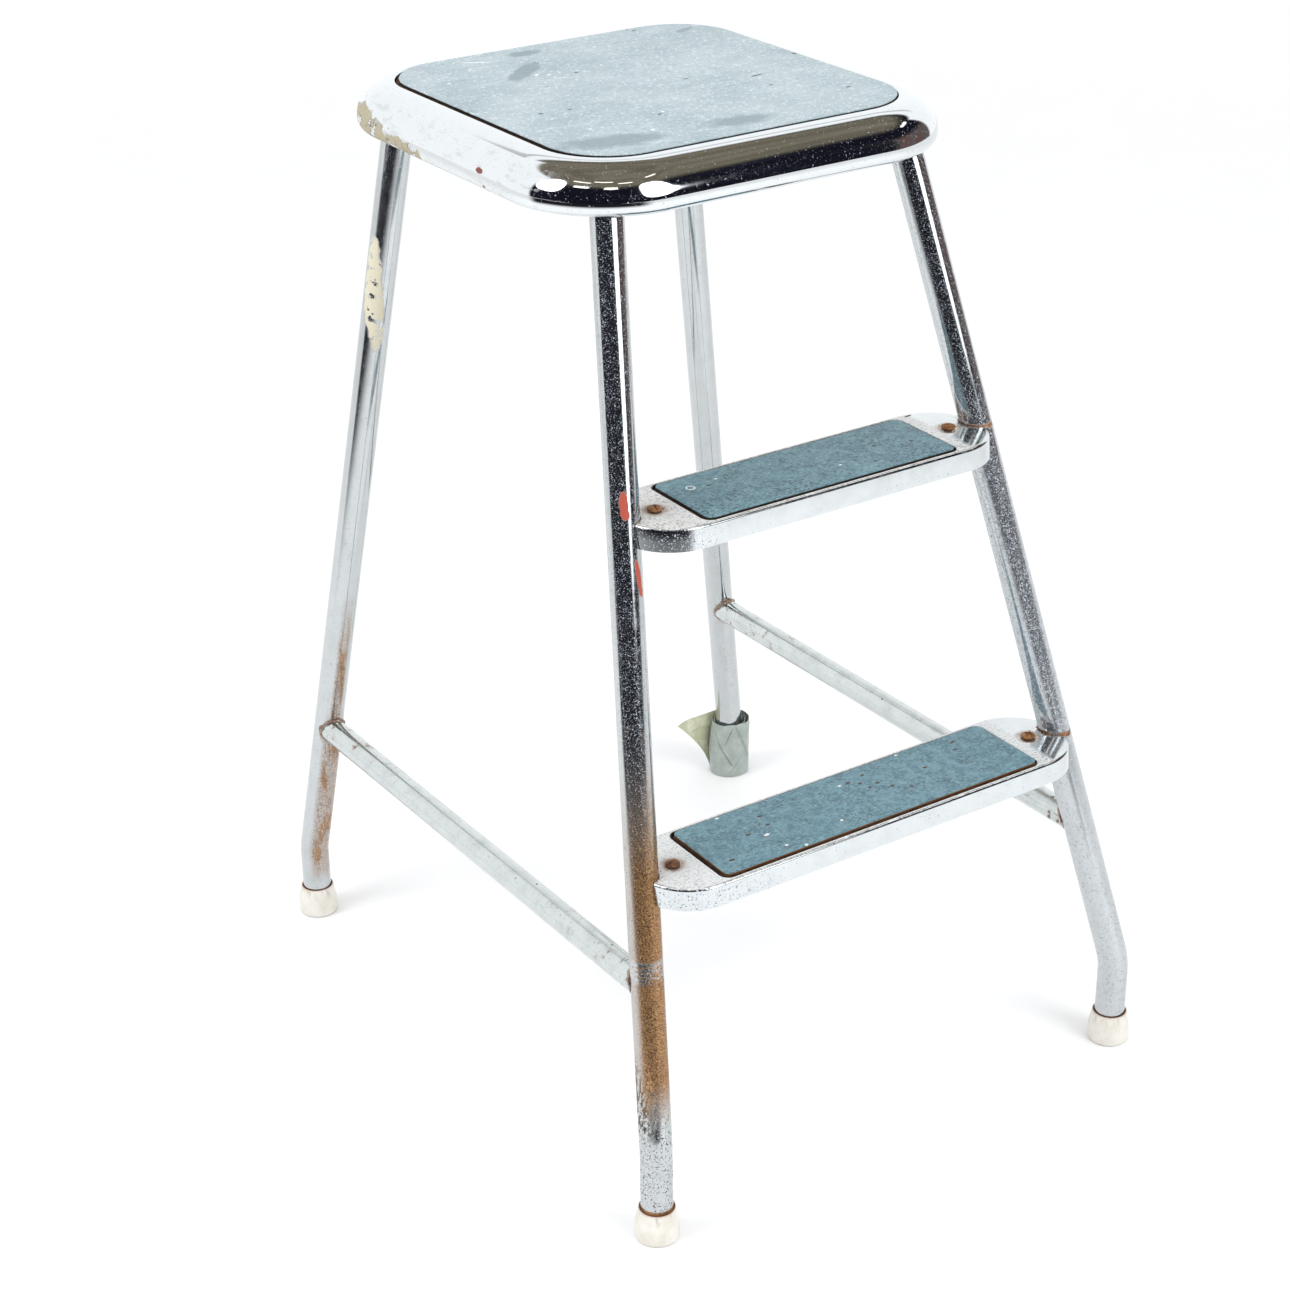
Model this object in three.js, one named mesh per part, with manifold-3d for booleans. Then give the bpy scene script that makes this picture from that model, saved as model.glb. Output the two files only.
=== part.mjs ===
// A fixed step stool: a square seat in a pressed steel shell, four splayed tube legs that turn upright near
// the floor, two pressed treads between the front legs, and a stretcher tube along each side.
// Millimetres, +Z up, +X to the right and +Y to the back. The origin is on the floor under the middle.
import * as THREE from "three";
import { mergeVertices } from "three/addons/utils/BufferGeometryUtils.js";
import Module from "manifold-3d";

const wasm = await Module();
wasm.setup();

// ---- Driving dimensions -------------------------------------------------------------------------------

const GAP = 0.3; // clearance between pieces that touch
const REACH = 400; // how far cutting tools run past what they cut

const SEAT_HEIGHT = 677.7; // top of the seat's linoleum
const SEAT_CENTRE_Y = 59.6;
const SEAT_OUTLINE = { halfX: 132.8, halfY: 136.7, corner: 46.8 }; // every seat piece follows it at an offset
const SEAT_PANEL_OFFSET = -1.0;
const SEAT_PANEL_SHIFT_X = 0.8; // the panel lies a little to the right in its recess
const SEAT_LINOLEUM = 2.4;
const SEAT_BOARD = 3.1;
const SEAT_CORE = 15.2;
const SEAT_CORE_OFFSET = 17.5;

const SHELL_SHEET = 1.2;
const SHELL_DROP = 1.0; // the shell's rim is this much lower than the linoleum
const RECESS_OFFSET = 1.5;
const RIM_OFFSET = 28.1;
const RIM_ROUND_Z = 23.2; // height of the rounded upper part of the rim
const RIM_CURL = 6.0; // how far the rim's lower edge turns in
const RIM_HEIGHT = 31.3;

const LEG = { radius: 11, wall: 1.5, bendRadius: 70, upperZ: 540 };
// kinkZ is where the sloping line meets the upright foot, and upperX, upperY its place at upperZ.
const FRONT_LEG = { footX: 199.8, footY: -244.2, kinkZ: 67.6, upperX: 132.4, upperY: -107.2 };
const REAR_LEG = { footX: 200.6, footY: 244.2, kinkZ: 58.6, upperX: 131.6, upperY: 200.0 };

const CAP_HEIGHT = 24;
const CAP_FLOOR = 5;
const CAP_RADIUS = 15;
const CAP_MOUTH = 12.6;

const STRETCHER = { radius: 9.5, wall: 1.2, frontZ: 173.6, rearZ: 166 };

const TREADS = {
  lower: { topZ: 245.5, panelHalfX: 130.9, panelShiftX: 0.8, panelProud: 1.5 },
  upper: { topZ: 464.2, panelHalfX: 100.2, panelShiftX: 0.6, panelProud: 0.8 },
};
const TREAD_HALF_DEPTH = 38.5;
const TREAD_CORNER = 38.2;
const TREAD_PAST_LEG = 2; // the rounded ends reach this far past the leg's axis, before they are notched
const TREAD_SHEET = 1.5;
const TREAD_SKIRT = 15.5; // height of the turned-down edge
const TREAD_ROUND = 3.5; // radius between the top and the skirt
const TREAD_PANEL_HALF_Y = 32.2;
const TREAD_PANEL_CORNER = 5;
const TREAD_RECESS_GAP = 2.3;
const TREAD_LINOLEUM = 2.1;
const TREAD_BOARD = 3.1;
const NOTCH_RADIUS = 11.8;
const SCREW_FROM_LEG = 24; // from the leg's axis to the tread screw

const TAB = { thickness: 3, halfWidth: 11, fromScrew: 12.5 };

const PLATE = { half: 29, corner: 7, thickness: 2.7, inward: 12, offset: 21 };
const PLATE_SCREW_INSET = 9; // from the plate's edge to a screw's axis

const TAPE = { width: 50, inner: 15.5, outer: 16.7, flapThickness: 1, lift: 0.5 };
const FLAP = { topLength: 49, bottomLength: 24, curl: 9 };

// ---- Colours ------------------------------------------------------------------------------------------

const FINISH = {
  chrome: { color: 0xc9ccd0, roughness: 0.15, metalness: 1.0 },
  dull_chrome: { color: 0xb9bcbe, roughness: 0.35, metalness: 0.9 },
  seat_linoleum: { color: 0xb9c8ce, roughness: 0.6, metalness: 0.0 },
  tread_linoleum: { color: 0x6f93a0, roughness: 0.65, metalness: 0.0 },
  hardboard: { color: 0x6b452c, roughness: 0.85, metalness: 0.0 },
  plywood: { color: 0xb08a5c, roughness: 0.8, metalness: 0.0 },
  plastic: { color: 0xe6e0cf, roughness: 0.5, metalness: 0.0 },
  tape: { color: 0x9aa39a, roughness: 0.7, metalness: 0.0 },
  rusty_steel: { color: 0x6a4432, roughness: 0.8, metalness: 0.3 },
  steel: { color: 0x8d8f90, roughness: 0.45, metalness: 0.8 },
};

// ---- Solids and meshes --------------------------------------------------------------------------------

function solid(geometry) {
  const bare = new THREE.BufferGeometry();
  bare.setAttribute("position", geometry.getAttribute("position"));
  bare.setIndex(geometry.index);
  const merged = mergeVertices(bare, 1e-4);
  return new wasm.Manifold(
    new wasm.Mesh({
      numProp: 3,
      vertProperties: merged.attributes.position.array,
      triVerts: new Uint32Array(merged.index.array),
    }),
  );
}

function geometryOf(body) {
  const mesh = body.getMesh();
  const geometry = new THREE.BufferGeometry();
  geometry.setAttribute("position", new THREE.BufferAttribute(new Float32Array(mesh.vertProperties), 3));
  geometry.setIndex(new THREE.BufferAttribute(new Uint32Array(mesh.triVerts), 1));
  geometry.computeVertexNormals();
  return geometry;
}

const stool = new THREE.Group();

function addPiece(name, body, finish) {
  const mesh = new THREE.Mesh(geometryOf(body), new THREE.MeshStandardMaterial(FINISH[finish]));
  mesh.name = name;
  stool.add(mesh);
}

function box(low, high) {
  const size = new THREE.Vector3().subVectors(high, low);
  const geometry = new THREE.BoxGeometry(size.x, size.y, size.z);
  geometry.translate(low.x + size.x / 2, low.y + size.y / 2, low.z + size.z / 2);
  return solid(geometry);
}

// A cylinder from one point to another.
function rod(from, to, radius, sides) {
  const along = new THREE.Vector3().subVectors(to, from);
  const geometry = new THREE.CylinderGeometry(radius, radius, along.length(), sides);
  geometry.applyQuaternion(
    new THREE.Quaternion().setFromUnitVectors(new THREE.Vector3(0, 1, 0), along.clone().normalize()),
  );
  geometry.translate(...new THREE.Vector3().addVectors(from, to).multiplyScalar(0.5).toArray());
  return solid(geometry);
}

function uprightRod(x, y, lowZ, highZ, radius, sides) {
  return rod(new THREE.Vector3(x, y, lowZ), new THREE.Vector3(x, y, highZ), radius, sides);
}

// A turned piece whose axis is +Z through (x, y, z); the profile runs from the axis round to the axis.
function turned(profile, sides, x, y, z) {
  const geometry = new THREE.LatheGeometry(profile.map(([r, h]) => new THREE.Vector2(r, h)), sides);
  geometry.rotateX(Math.PI / 2);
  geometry.translate(x, y, z);
  return solid(geometry);
}

// An outline whose copies at any offset have the same number of points.
function roundedRectangle({ halfX, halfY, corner, centreX = 0, centreY = 0 }, arcSteps) {
  return (offset) => {
    const points = [];
    const radius = corner + offset;
    for (let quarter = 0; quarter < 4; quarter += 1) {
      const signX = quarter === 0 || quarter === 3 ? 1 : -1;
      const signY = quarter < 2 ? 1 : -1;
      for (let step = 0; step <= arcSteps; step += 1) {
        const angle = (quarter + step / arcSteps) * (Math.PI / 2);
        points.push(
          new THREE.Vector2(
            centreX + signX * (halfX - corner) + radius * Math.cos(angle),
            centreY + signY * (halfY - corner) + radius * Math.sin(angle),
          ),
        );
      }
    }
    return points;
  };
}

// A closed solid from copies of one outline at [offset, height] stations, capped at its first and last.
function loft(outline, section) {
  const rings = section.map(([offset, z]) => outline(offset).map((p) => new THREE.Vector3(p.x, p.y, z)));
  const count = rings[0].length;
  const index = [];
  for (let ring = 0; ring + 1 < rings.length; ring += 1) {
    for (let i = 0; i < count; i += 1) {
      const a = ring * count + i;
      const b = ring * count + ((i + 1) % count);
      index.push(a, b, b + count, a, b + count, a + count);
    }
  }
  const last = (rings.length - 1) * count;
  for (const [a, b, c] of THREE.ShapeUtils.triangulateShape(outline(section[0][0]), [])) {
    index.push(c, b, a);
  }
  for (const [a, b, c] of THREE.ShapeUtils.triangulateShape(outline(section.at(-1)[0]), [])) {
    index.push(last + a, last + b, last + c);
  }
  const geometry = new THREE.BufferGeometry();
  geometry.setAttribute(
    "position",
    new THREE.Float32BufferAttribute(rings.flat().flatMap((p) => p.toArray()), 3),
  );
  geometry.setIndex(index);
  return solid(geometry);
}

function slab(outline, lowZ, highZ, offset = 0) {
  return loft(outline, [[offset, lowZ], [offset, highZ]]);
}

// Stations on an ellipse about (offset, z), from one angle to another in degrees.
function arcSection(offset, z, radiusOffset, radiusZ, from, to, steps) {
  return Array.from({ length: steps + 1 }, (_, i) => {
    const angle = THREE.MathUtils.degToRad(from + ((to - from) * i) / steps);
    return [offset + radiusOffset * Math.cos(angle), z + radiusZ * Math.sin(angle)];
  });
}

// ---- Legs, foot caps and tape -------------------------------------------------------------------------

// The point at height z on a leg's sloping centre line; side is -1 on the left and 1 on the right.
function legPoint(leg, side, z) {
  const share = (z - leg.kinkZ) / (LEG.upperZ - leg.kinkZ);
  return new THREE.Vector3(
    side * THREE.MathUtils.lerp(leg.footX, leg.upperX, share),
    THREE.MathUtils.lerp(leg.footY, leg.upperY, share),
    z,
  );
}

const BEND_STEPS = 5;

// One step for the upright foot, BEND_STEPS for the bend and one for the long sloping part.
class LegPath extends THREE.Curve {
  constructor(foot, kink, top) {
    super();
    const up = new THREE.Vector3().subVectors(top, kink).normalize();
    const run = LEG.bendRadius * Math.tan(up.angleTo(new THREE.Vector3(0, 0, 1)) / 2);
    const bendStart = new THREE.Vector3(kink.x, kink.y, kink.z - run);
    const bendEnd = kink.clone().addScaledVector(up, run);
    this.foot = new THREE.LineCurve3(foot, bendStart);
    this.bend = new THREE.QuadraticBezierCurve3(bendStart, kink, bendEnd);
    this.slope = new THREE.LineCurve3(bendEnd, top);
    this.steps = BEND_STEPS + 2;
  }

  getPoint(t, target = new THREE.Vector3()) {
    const place = t * this.steps;
    if (place < 1) return this.foot.getPoint(place, target);
    if (place > BEND_STEPS + 1) return this.slope.getPoint(place - BEND_STEPS - 1, target);
    return this.bend.getPoint((place - 1) / BEND_STEPS, target);
  }

  getUtoTmapping(u) {
    return u;
  }
}

function ringShape(outer, inner) {
  const shape = new THREE.Shape().absarc(0, 0, outer, 0, 2 * Math.PI);
  shape.holes.push(new THREE.Path().absarc(0, 0, inner, 0, 2 * Math.PI, true));
  return shape;
}

const CORE_TOP = SEAT_HEIGHT - SEAT_LINOLEUM - SEAT_BOARD - SHELL_SHEET - 3 * GAP;
const CORE_BOTTOM = CORE_TOP - SEAT_CORE;
const PLATE_TOP = CORE_BOTTOM - GAP;
const PLATE_BOTTOM = PLATE_TOP - PLATE.thickness;
const LEG_TOP = PLATE_BOTTOM - GAP;

function legTube(leg, side) {
  const foot = new THREE.Vector3(side * leg.footX, leg.footY, CAP_FLOOR + GAP);
  const path = new LegPath(foot, legPoint(leg, side, leg.kinkZ), legPoint(leg, side, LEG_TOP + 10));
  const tube = new THREE.ExtrudeGeometry(ringShape(LEG.radius, LEG.radius - LEG.wall), {
    curveSegments: 8,
    steps: path.steps,
    extrudePath: path,
  });
  const above = box(new THREE.Vector3(-REACH, -REACH, LEG_TOP), new THREE.Vector3(REACH, REACH, SEAT_HEIGHT));
  return solid(tube).subtract(above);
}

// A rod along a leg's slope, wide enough to clear it by GAP when radius is left out.
function legClearance(leg, side, lowZ, highZ, radius = LEG.radius + GAP + 0.1) {
  return rod(legPoint(leg, side, lowZ), legPoint(leg, side, highZ), radius, 32);
}

function footCap(leg, side) {
  const bore = LEG.radius + GAP;
  const profile = [
    [0, 0],
    [CAP_RADIUS - 3.4, 0],
    [CAP_RADIUS - 1, 1.2],
    [CAP_RADIUS, 4],
    [CAP_RADIUS, 9],
    [CAP_RADIUS - 0.8, 15],
    [CAP_MOUTH, CAP_HEIGHT],
    [bore, CAP_HEIGHT],
    [bore, CAP_FLOOR],
    [0, CAP_FLOOR],
  ];
  return turned(profile, 20, side * leg.footX, leg.footY, 0);
}

// The tape's wrap, and its loose end: a curved strip behind the foot, cut on a slant along its free edge.
function footTape(leg, side) {
  const centre = new THREE.Vector2(side * leg.footX, leg.footY);
  const low = TAPE.lift;
  const high = TAPE.lift + TAPE.width;
  const wrap = uprightRod(centre.x, centre.y, low, high, TAPE.outer, 20);
  const inside = uprightRod(centre.x, centre.y, low - 1, high + 1, TAPE.inner, 20);
  const start = centre.y + TAPE.outer - TAPE.flapThickness;
  const end = start - FLAP.curl;
  const tip = centre.x - FLAP.topLength;
  const flap = new THREE.Shape();
  flap.moveTo(centre.x, start + TAPE.flapThickness);
  flap.quadraticCurveTo(
    centre.x - 0.6 * FLAP.topLength,
    start + TAPE.flapThickness,
    tip,
    end + TAPE.flapThickness,
  );
  flap.lineTo(tip, end);
  flap.quadraticCurveTo(centre.x - 0.6 * FLAP.topLength, start, centre.x, start);
  const strip = new THREE.ExtrudeGeometry(flap, { depth: TAPE.width, bevelEnabled: false, curveSegments: 6 });
  strip.translate(0, 0, low);
  const underCut = new THREE.Shape();
  underCut.moveTo(centre.x - FLAP.bottomLength, low - 1);
  underCut.lineTo(tip - 1, high - 4);
  underCut.lineTo(tip - 1, low - 1);
  const wedge = new THREE.ExtrudeGeometry(underCut, { depth: REACH, bevelEnabled: false });
  wedge.rotateX(Math.PI / 2);
  wedge.translate(0, REACH, 0);
  const body = wrap.add(solid(strip).subtract(solid(wedge)));
  return body.subtract(inside);
}

// ---- Stretchers ---------------------------------------------------------------------------------------

function stretcher(side) {
  const front = legPoint(FRONT_LEG, side, STRETCHER.frontZ);
  const rear = legPoint(REAR_LEG, side, STRETCHER.rearZ);
  const tube = new THREE.ExtrudeGeometry(ringShape(STRETCHER.radius, STRETCHER.radius - STRETCHER.wall), {
    curveSegments: 8,
    steps: 1,
    extrudePath: new THREE.LineCurve3(front, rear),
  });
  const middle = new THREE.Vector3().addVectors(front, rear).multiplyScalar(0.5);
  const coped = solid(tube)
    .subtract(legClearance(FRONT_LEG, side, STRETCHER.frontZ - 40, STRETCHER.frontZ + 40))
    .subtract(legClearance(REAR_LEG, side, STRETCHER.rearZ - 40, STRETCHER.rearZ + 40));
  // The scraps beyond the legs go, and the tube between them stays.
  return coped.decompose().find((piece) => {
    const bounds = piece.boundingBox();
    return bounds.min[1] < middle.y && bounds.max[1] > middle.y;
  });
}

// ---- Seat ---------------------------------------------------------------------------------------------

const seatOutline = roundedRectangle({ ...SEAT_OUTLINE, centreY: SEAT_CENTRE_Y }, 8);
const panelOutline = roundedRectangle(
  { ...SEAT_OUTLINE, centreX: SEAT_PANEL_SHIFT_X, centreY: SEAT_CENTRE_Y },
  8,
);

const RIM_TOP = SEAT_HEIGHT - SHELL_DROP;
const WEB_TOP = CORE_TOP + GAP + SHELL_SHEET;

function seatShell() {
  const rimMiddle = RIM_TOP - RIM_ROUND_Z;
  const curlCentre = RIM_OFFSET - RIM_CURL;
  const curlDepth = RIM_HEIGHT - RIM_ROUND_Z;
  const wall = RECESS_OFFSET + SHELL_SHEET;
  const roundOffset = RIM_OFFSET - RECESS_OFFSET;
  return loft(seatOutline, [
    [wall, WEB_TOP - SHELL_SHEET],
    [wall, RIM_TOP - SHELL_SHEET - 0.2],
    ...arcSection(
      RECESS_OFFSET,
      rimMiddle,
      roundOffset - SHELL_SHEET,
      RIM_ROUND_Z - SHELL_SHEET,
      80,
      0,
      5,
    ),
    ...arcSection(curlCentre, rimMiddle, RIM_CURL - SHELL_SHEET, curlDepth - SHELL_SHEET, -30, -90, 2),
    ...arcSection(curlCentre, rimMiddle, RIM_CURL, curlDepth, -90, -30, 2),
    ...arcSection(RECESS_OFFSET, rimMiddle, roundOffset, RIM_ROUND_Z, 0, 90, 7),
    [RECESS_OFFSET, WEB_TOP],
  ]);
}

function seatPanelPieces() {
  const boardLow = WEB_TOP + GAP;
  const linoleumLow = boardLow + SEAT_BOARD + GAP;
  addPiece(
    "seat_backing_board",
    slab(panelOutline, boardLow, boardLow + SEAT_BOARD, SEAT_PANEL_OFFSET - 0.5),
    "hardboard",
  );
  addPiece(
    "seat_linoleum",
    slab(panelOutline, linoleumLow, SEAT_HEIGHT, SEAT_PANEL_OFFSET),
    "seat_linoleum",
  );
}

// ---- Leg plates, their screws and the core board ------------------------------------------------------

const PLATE_SCREW = { head: 4.2, headHeight: 2.4, shank: 2.0, length: 13.5 };

function plateCentre(leg, side) {
  const top = legPoint(leg, side, LEG_TOP);
  const towardsMiddle = Math.sign(SEAT_CENTRE_Y - top.y);
  return new THREE.Vector2(top.x - side * PLATE.inward, top.y + towardsMiddle * PLATE.inward);
}

// Three corners of the plate: all but the one over the leg.
function plateScrewPlaces(leg, side) {
  const centre = plateCentre(leg, side);
  const outY = Math.sign(centre.y - SEAT_CENTRE_Y);
  const reach = PLATE.half - PLATE_SCREW_INSET;
  return [
    [-side, -outY],
    [side, -outY],
    [-side, outY],
  ].map(([x, y]) => new THREE.Vector2(centre.x + x * reach, centre.y + y * reach));
}

function legPlate(leg, side) {
  const centre = plateCentre(leg, side);
  const square = roundedRectangle(
    { halfX: PLATE.half, halfY: PLATE.half, corner: PLATE.corner, centreX: centre.x, centreY: centre.y },
    3,
  );
  const withinShell = slab(seatOutline, PLATE_BOTTOM - 1, PLATE_TOP + 1, PLATE.offset);
  return plateScrewPlaces(leg, side).reduce(
    (plate, place) =>
      plate.subtract(
        uprightRod(place.x, place.y, PLATE_BOTTOM - 1, PLATE_TOP + 1, PLATE_SCREW.shank + 0.4, 12),
      ),
    slab(square, PLATE_BOTTOM, PLATE_TOP).intersect(withinShell),
  );
}

function plateScrew(place) {
  const { head, headHeight, shank, length } = PLATE_SCREW;
  const profile = [
    [0, 0],
    [0.6 * head, 0.25 * headHeight],
    [head, headHeight],
    [shank, headHeight],
    [shank, headHeight + length - 2.5],
    [0, headHeight + length],
  ];
  return turned(profile, 10, place.x, place.y, PLATE_BOTTOM - GAP - headHeight);
}

function seatCore(screwPlaces) {
  const board = slab(seatOutline, CORE_BOTTOM, CORE_TOP, SEAT_CORE_OFFSET);
  const holeTop = PLATE_BOTTOM + PLATE_SCREW.length + 1;
  return screwPlaces.reduce(
    (core, place) =>
      core.subtract(
        uprightRod(place.x, place.y, CORE_BOTTOM - 1, holeTop, PLATE_SCREW.shank + 0.4, 10),
      ),
    board,
  );
}

// ---- Treads -------------------------------------------------------------------------------------------

const TREAD_SCREW = { head: 5, headHeight: 2.6, shank: 2.5 };
const NUT = { radius: 4.6, height: 4 };

// The heights and places of one tread, which follow from its top and from the front legs.
function treadLayout({ topZ, panelHalfX, panelShiftX, panelProud }) {
  const lipZ = topZ - panelProud;
  const leg = legPoint(FRONT_LEG, 1, lipZ);
  return {
    lipZ,
    recessFloor: topZ - TREAD_LINOLEUM - TREAD_BOARD - 2 * GAP,
    centreY: leg.y,
    endX: leg.x + TREAD_PAST_LEG,
    screwX: leg.x - SCREW_FROM_LEG,
    tabTop: lipZ - TREAD_SHEET - GAP,
    panelHalfX,
    panelShiftX,
    topZ,
  };
}

function treadPanelOutline(tread) {
  return roundedRectangle(
    {
      halfX: tread.panelHalfX,
      halfY: TREAD_PANEL_HALF_Y,
      corner: TREAD_PANEL_CORNER,
      centreX: tread.panelShiftX,
      centreY: tread.centreY,
    },
    3,
  );
}

function treadPan(tread) {
  const { lipZ, recessFloor, centreY, endX, panelHalfX, screwX } = tread;
  const outline = roundedRectangle(
    { halfX: endX, halfY: TREAD_HALF_DEPTH, corner: TREAD_CORNER, centreY },
    9,
  );
  const recessOutline = roundedRectangle(
    { halfX: panelHalfX, halfY: TREAD_PANEL_HALF_Y, corner: TREAD_PANEL_CORNER, centreY },
    3,
  );
  const skirtBottom = lipZ - TREAD_SKIRT;
  const outside = loft(outline, [
    [0, skirtBottom],
    ...arcSection(-TREAD_ROUND, lipZ - TREAD_ROUND, TREAD_ROUND, TREAD_ROUND, 0, 90, 4),
  ]);
  const inside = slab(outline, skirtBottom - 1, lipZ - TREAD_SHEET, -TREAD_SHEET);
  const recess = slab(recessOutline, recessFloor, lipZ + 1, TREAD_RECESS_GAP);
  const pan = slab(recessOutline, recessFloor - TREAD_SHEET, lipZ - 0.5, TREAD_RECESS_GAP + TREAD_SHEET);
  let body = outside.subtract(inside).add(pan).subtract(recess);
  for (const side of [-1, 1]) {
    body = body
      .subtract(legClearance(FRONT_LEG, side, lipZ - 40, lipZ + 40, NOTCH_RADIUS))
      .subtract(
        uprightRod(side * screwX, centreY, lipZ - 4, lipZ + 1, TREAD_SCREW.shank + 0.4, 12),
      );
  }
  return body;
}

function treadTab(tread, side) {
  const low = tread.tabTop - TAB.thickness;
  const inner = tread.screwX - TAB.fromScrew;
  const outer = legPoint(FRONT_LEG, 1, tread.lipZ).x;
  const blank = roundedRectangle(
    {
      halfX: (outer - inner) / 2,
      halfY: TAB.halfWidth,
      corner: 4,
      centreX: (side * (outer + inner)) / 2,
      centreY: tread.centreY,
    },
    2,
  );
  return slab(blank, low, tread.tabTop)
    .subtract(legClearance(FRONT_LEG, side, tread.lipZ - 40, tread.lipZ + 40))
    .subtract(
      uprightRod(side * tread.screwX, tread.centreY, low - 1, tread.tabTop + 1, TREAD_SCREW.shank + 0.4, 12),
    );
}

function treadScrew(tread, side) {
  const { head, headHeight, shank } = TREAD_SCREW;
  const length = TREAD_SHEET + 3 * GAP + TAB.thickness + NUT.height + 1.5;
  const profile = [
    [0, -length],
    [shank, -length],
    [shank, 0],
    [head, 0],
    [0.9 * head, 0.5 * headHeight],
    [0.5 * head, 0.9 * headHeight],
    [0, headHeight],
  ];
  return turned(profile, 12, side * tread.screwX, tread.centreY, tread.lipZ + GAP);
}

function treadNut(tread, side) {
  const top = tread.tabTop - TAB.thickness - GAP;
  const x = side * tread.screwX;
  return uprightRod(x, tread.centreY, top - NUT.height, top, NUT.radius, 6).subtract(
    uprightRod(x, tread.centreY, top - NUT.height - 1, top + 1, TREAD_SCREW.shank + 0.3, 12),
  );
}

// ---- Assembly -----------------------------------------------------------------------------------------

const LEGS = [
  { place: "front_left", leg: FRONT_LEG, side: -1 },
  { place: "front_right", leg: FRONT_LEG, side: 1 },
  { place: "rear_left", leg: REAR_LEG, side: -1 },
  { place: "rear_right", leg: REAR_LEG, side: 1 },
];
const SIDES = { left: -1, right: 1 };

addPiece("seat_shell", seatShell(), "chrome");
seatPanelPieces();
addPiece(
  "seat_core_board",
  seatCore(LEGS.flatMap(({ leg, side }) => plateScrewPlaces(leg, side))),
  "plywood",
);

for (const { place, leg, side } of LEGS) {
  addPiece(`leg_${place}`, legTube(leg, side), "chrome");
  addPiece(`foot_cap_${place}`, footCap(leg, side), "plastic");
  addPiece(`leg_plate_${place}`, legPlate(leg, side), "steel");
  plateScrewPlaces(leg, side).forEach((screwPlace, i) => {
    addPiece(`plate_screw_${place}_${i + 1}`, plateScrew(screwPlace), "steel");
  });
}
addPiece("foot_tape", footTape(REAR_LEG, 1), "tape");

for (const [place, side] of Object.entries(SIDES)) {
  addPiece(`stretcher_${place}`, stretcher(side), "dull_chrome");
}

for (const [level, dimensions] of Object.entries(TREADS)) {
  const tread = treadLayout(dimensions);
  const panel = treadPanelOutline(tread);
  const boardLow = tread.recessFloor + GAP;
  addPiece(`tread_${level}`, treadPan(tread), "chrome");
  addPiece(`tread_board_${level}`, slab(panel, boardLow, boardLow + TREAD_BOARD, -0.4), "hardboard");
  addPiece(
    `tread_linoleum_${level}`,
    slab(panel, tread.topZ - TREAD_LINOLEUM, tread.topZ),
    "tread_linoleum",
  );
  for (const [place, side] of Object.entries(SIDES)) {
    addPiece(`tread_tab_${level}_${place}`, treadTab(tread, side), "steel");
    addPiece(`tread_screw_${level}_${place}`, treadScrew(tread, side), "rusty_steel");
    addPiece(`tread_nut_${level}_${place}`, treadNut(tread, side), "rusty_steel");
  }
}

export default stool;
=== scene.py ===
"""The looks of a fixed step stool: chromed tube legs, a pressed steel seat shell and treads with linoleum
panels, foot caps, and tape round one foot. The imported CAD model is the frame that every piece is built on.
Shapes are worked out in millimetres in the row frame (+Z up, treads at -Y); mesh_of() makes them metres.
"""
import math
from contextlib import contextmanager

import bmesh
import bpy
import numpy as np
from mathutils import Matrix, Vector, noise
from mathutils.geometry import delaunay_2d_cdt


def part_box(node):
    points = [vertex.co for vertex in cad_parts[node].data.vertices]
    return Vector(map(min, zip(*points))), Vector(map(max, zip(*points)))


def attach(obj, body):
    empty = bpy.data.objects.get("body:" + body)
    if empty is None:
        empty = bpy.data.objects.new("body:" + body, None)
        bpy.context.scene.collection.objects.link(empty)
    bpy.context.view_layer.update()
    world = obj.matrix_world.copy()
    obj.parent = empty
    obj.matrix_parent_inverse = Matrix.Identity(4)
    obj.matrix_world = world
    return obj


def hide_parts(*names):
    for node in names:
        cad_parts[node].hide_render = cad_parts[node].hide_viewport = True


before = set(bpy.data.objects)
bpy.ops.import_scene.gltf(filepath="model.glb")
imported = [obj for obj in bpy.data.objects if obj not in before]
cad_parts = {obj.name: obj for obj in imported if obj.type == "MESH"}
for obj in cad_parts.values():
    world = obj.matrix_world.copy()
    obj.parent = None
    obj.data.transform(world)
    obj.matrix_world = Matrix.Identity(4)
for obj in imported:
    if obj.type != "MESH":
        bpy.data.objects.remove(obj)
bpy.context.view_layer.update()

MM = 0.001
BODY = "root"
ROWS = ("front", "rear")
SIDES = {"left": -1, "right": 1}
LEVELS = ("lower", "upper")

# ---- Sizes in millimetres that the frame's boxes don't give --------------------------------------------

CAD_GAP = 0.3  # between CAD solids that touch on the real stool

SEAT_CORNER = 46.8  # corner radius of the seat's recess line
SEAT_GAP = 1.0  # from the recess line to the linoleum
SHELL_LIP = 1.0  # from the recess line to the shell's inner wall
SHELL_SHEET = 1.2
SHELL_ROUND_HEIGHT = 23.2  # height of the rounded upper part of the rim
SHELL_CURL = 6.0  # how far its lower edge turns in
SHELL_INNER_FILLET = 1.0

LEG_RADIUS = 11.0
LEG_WALL = 1.5
LEG_BEND_RADIUS = 70.0
KINK_HEIGHT = {"front": 67.6, "rear": 58.6}
CAP_FLOOR = 5.0
CAP_SLACK = 0.25  # round the leg
STRETCHER_RADIUS = 9.5
STRETCHER_WALL = 1.2
STRETCHER_END = 18.0  # length over which a stretcher's end is looked for
COPE_GAP = 0.05

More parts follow.
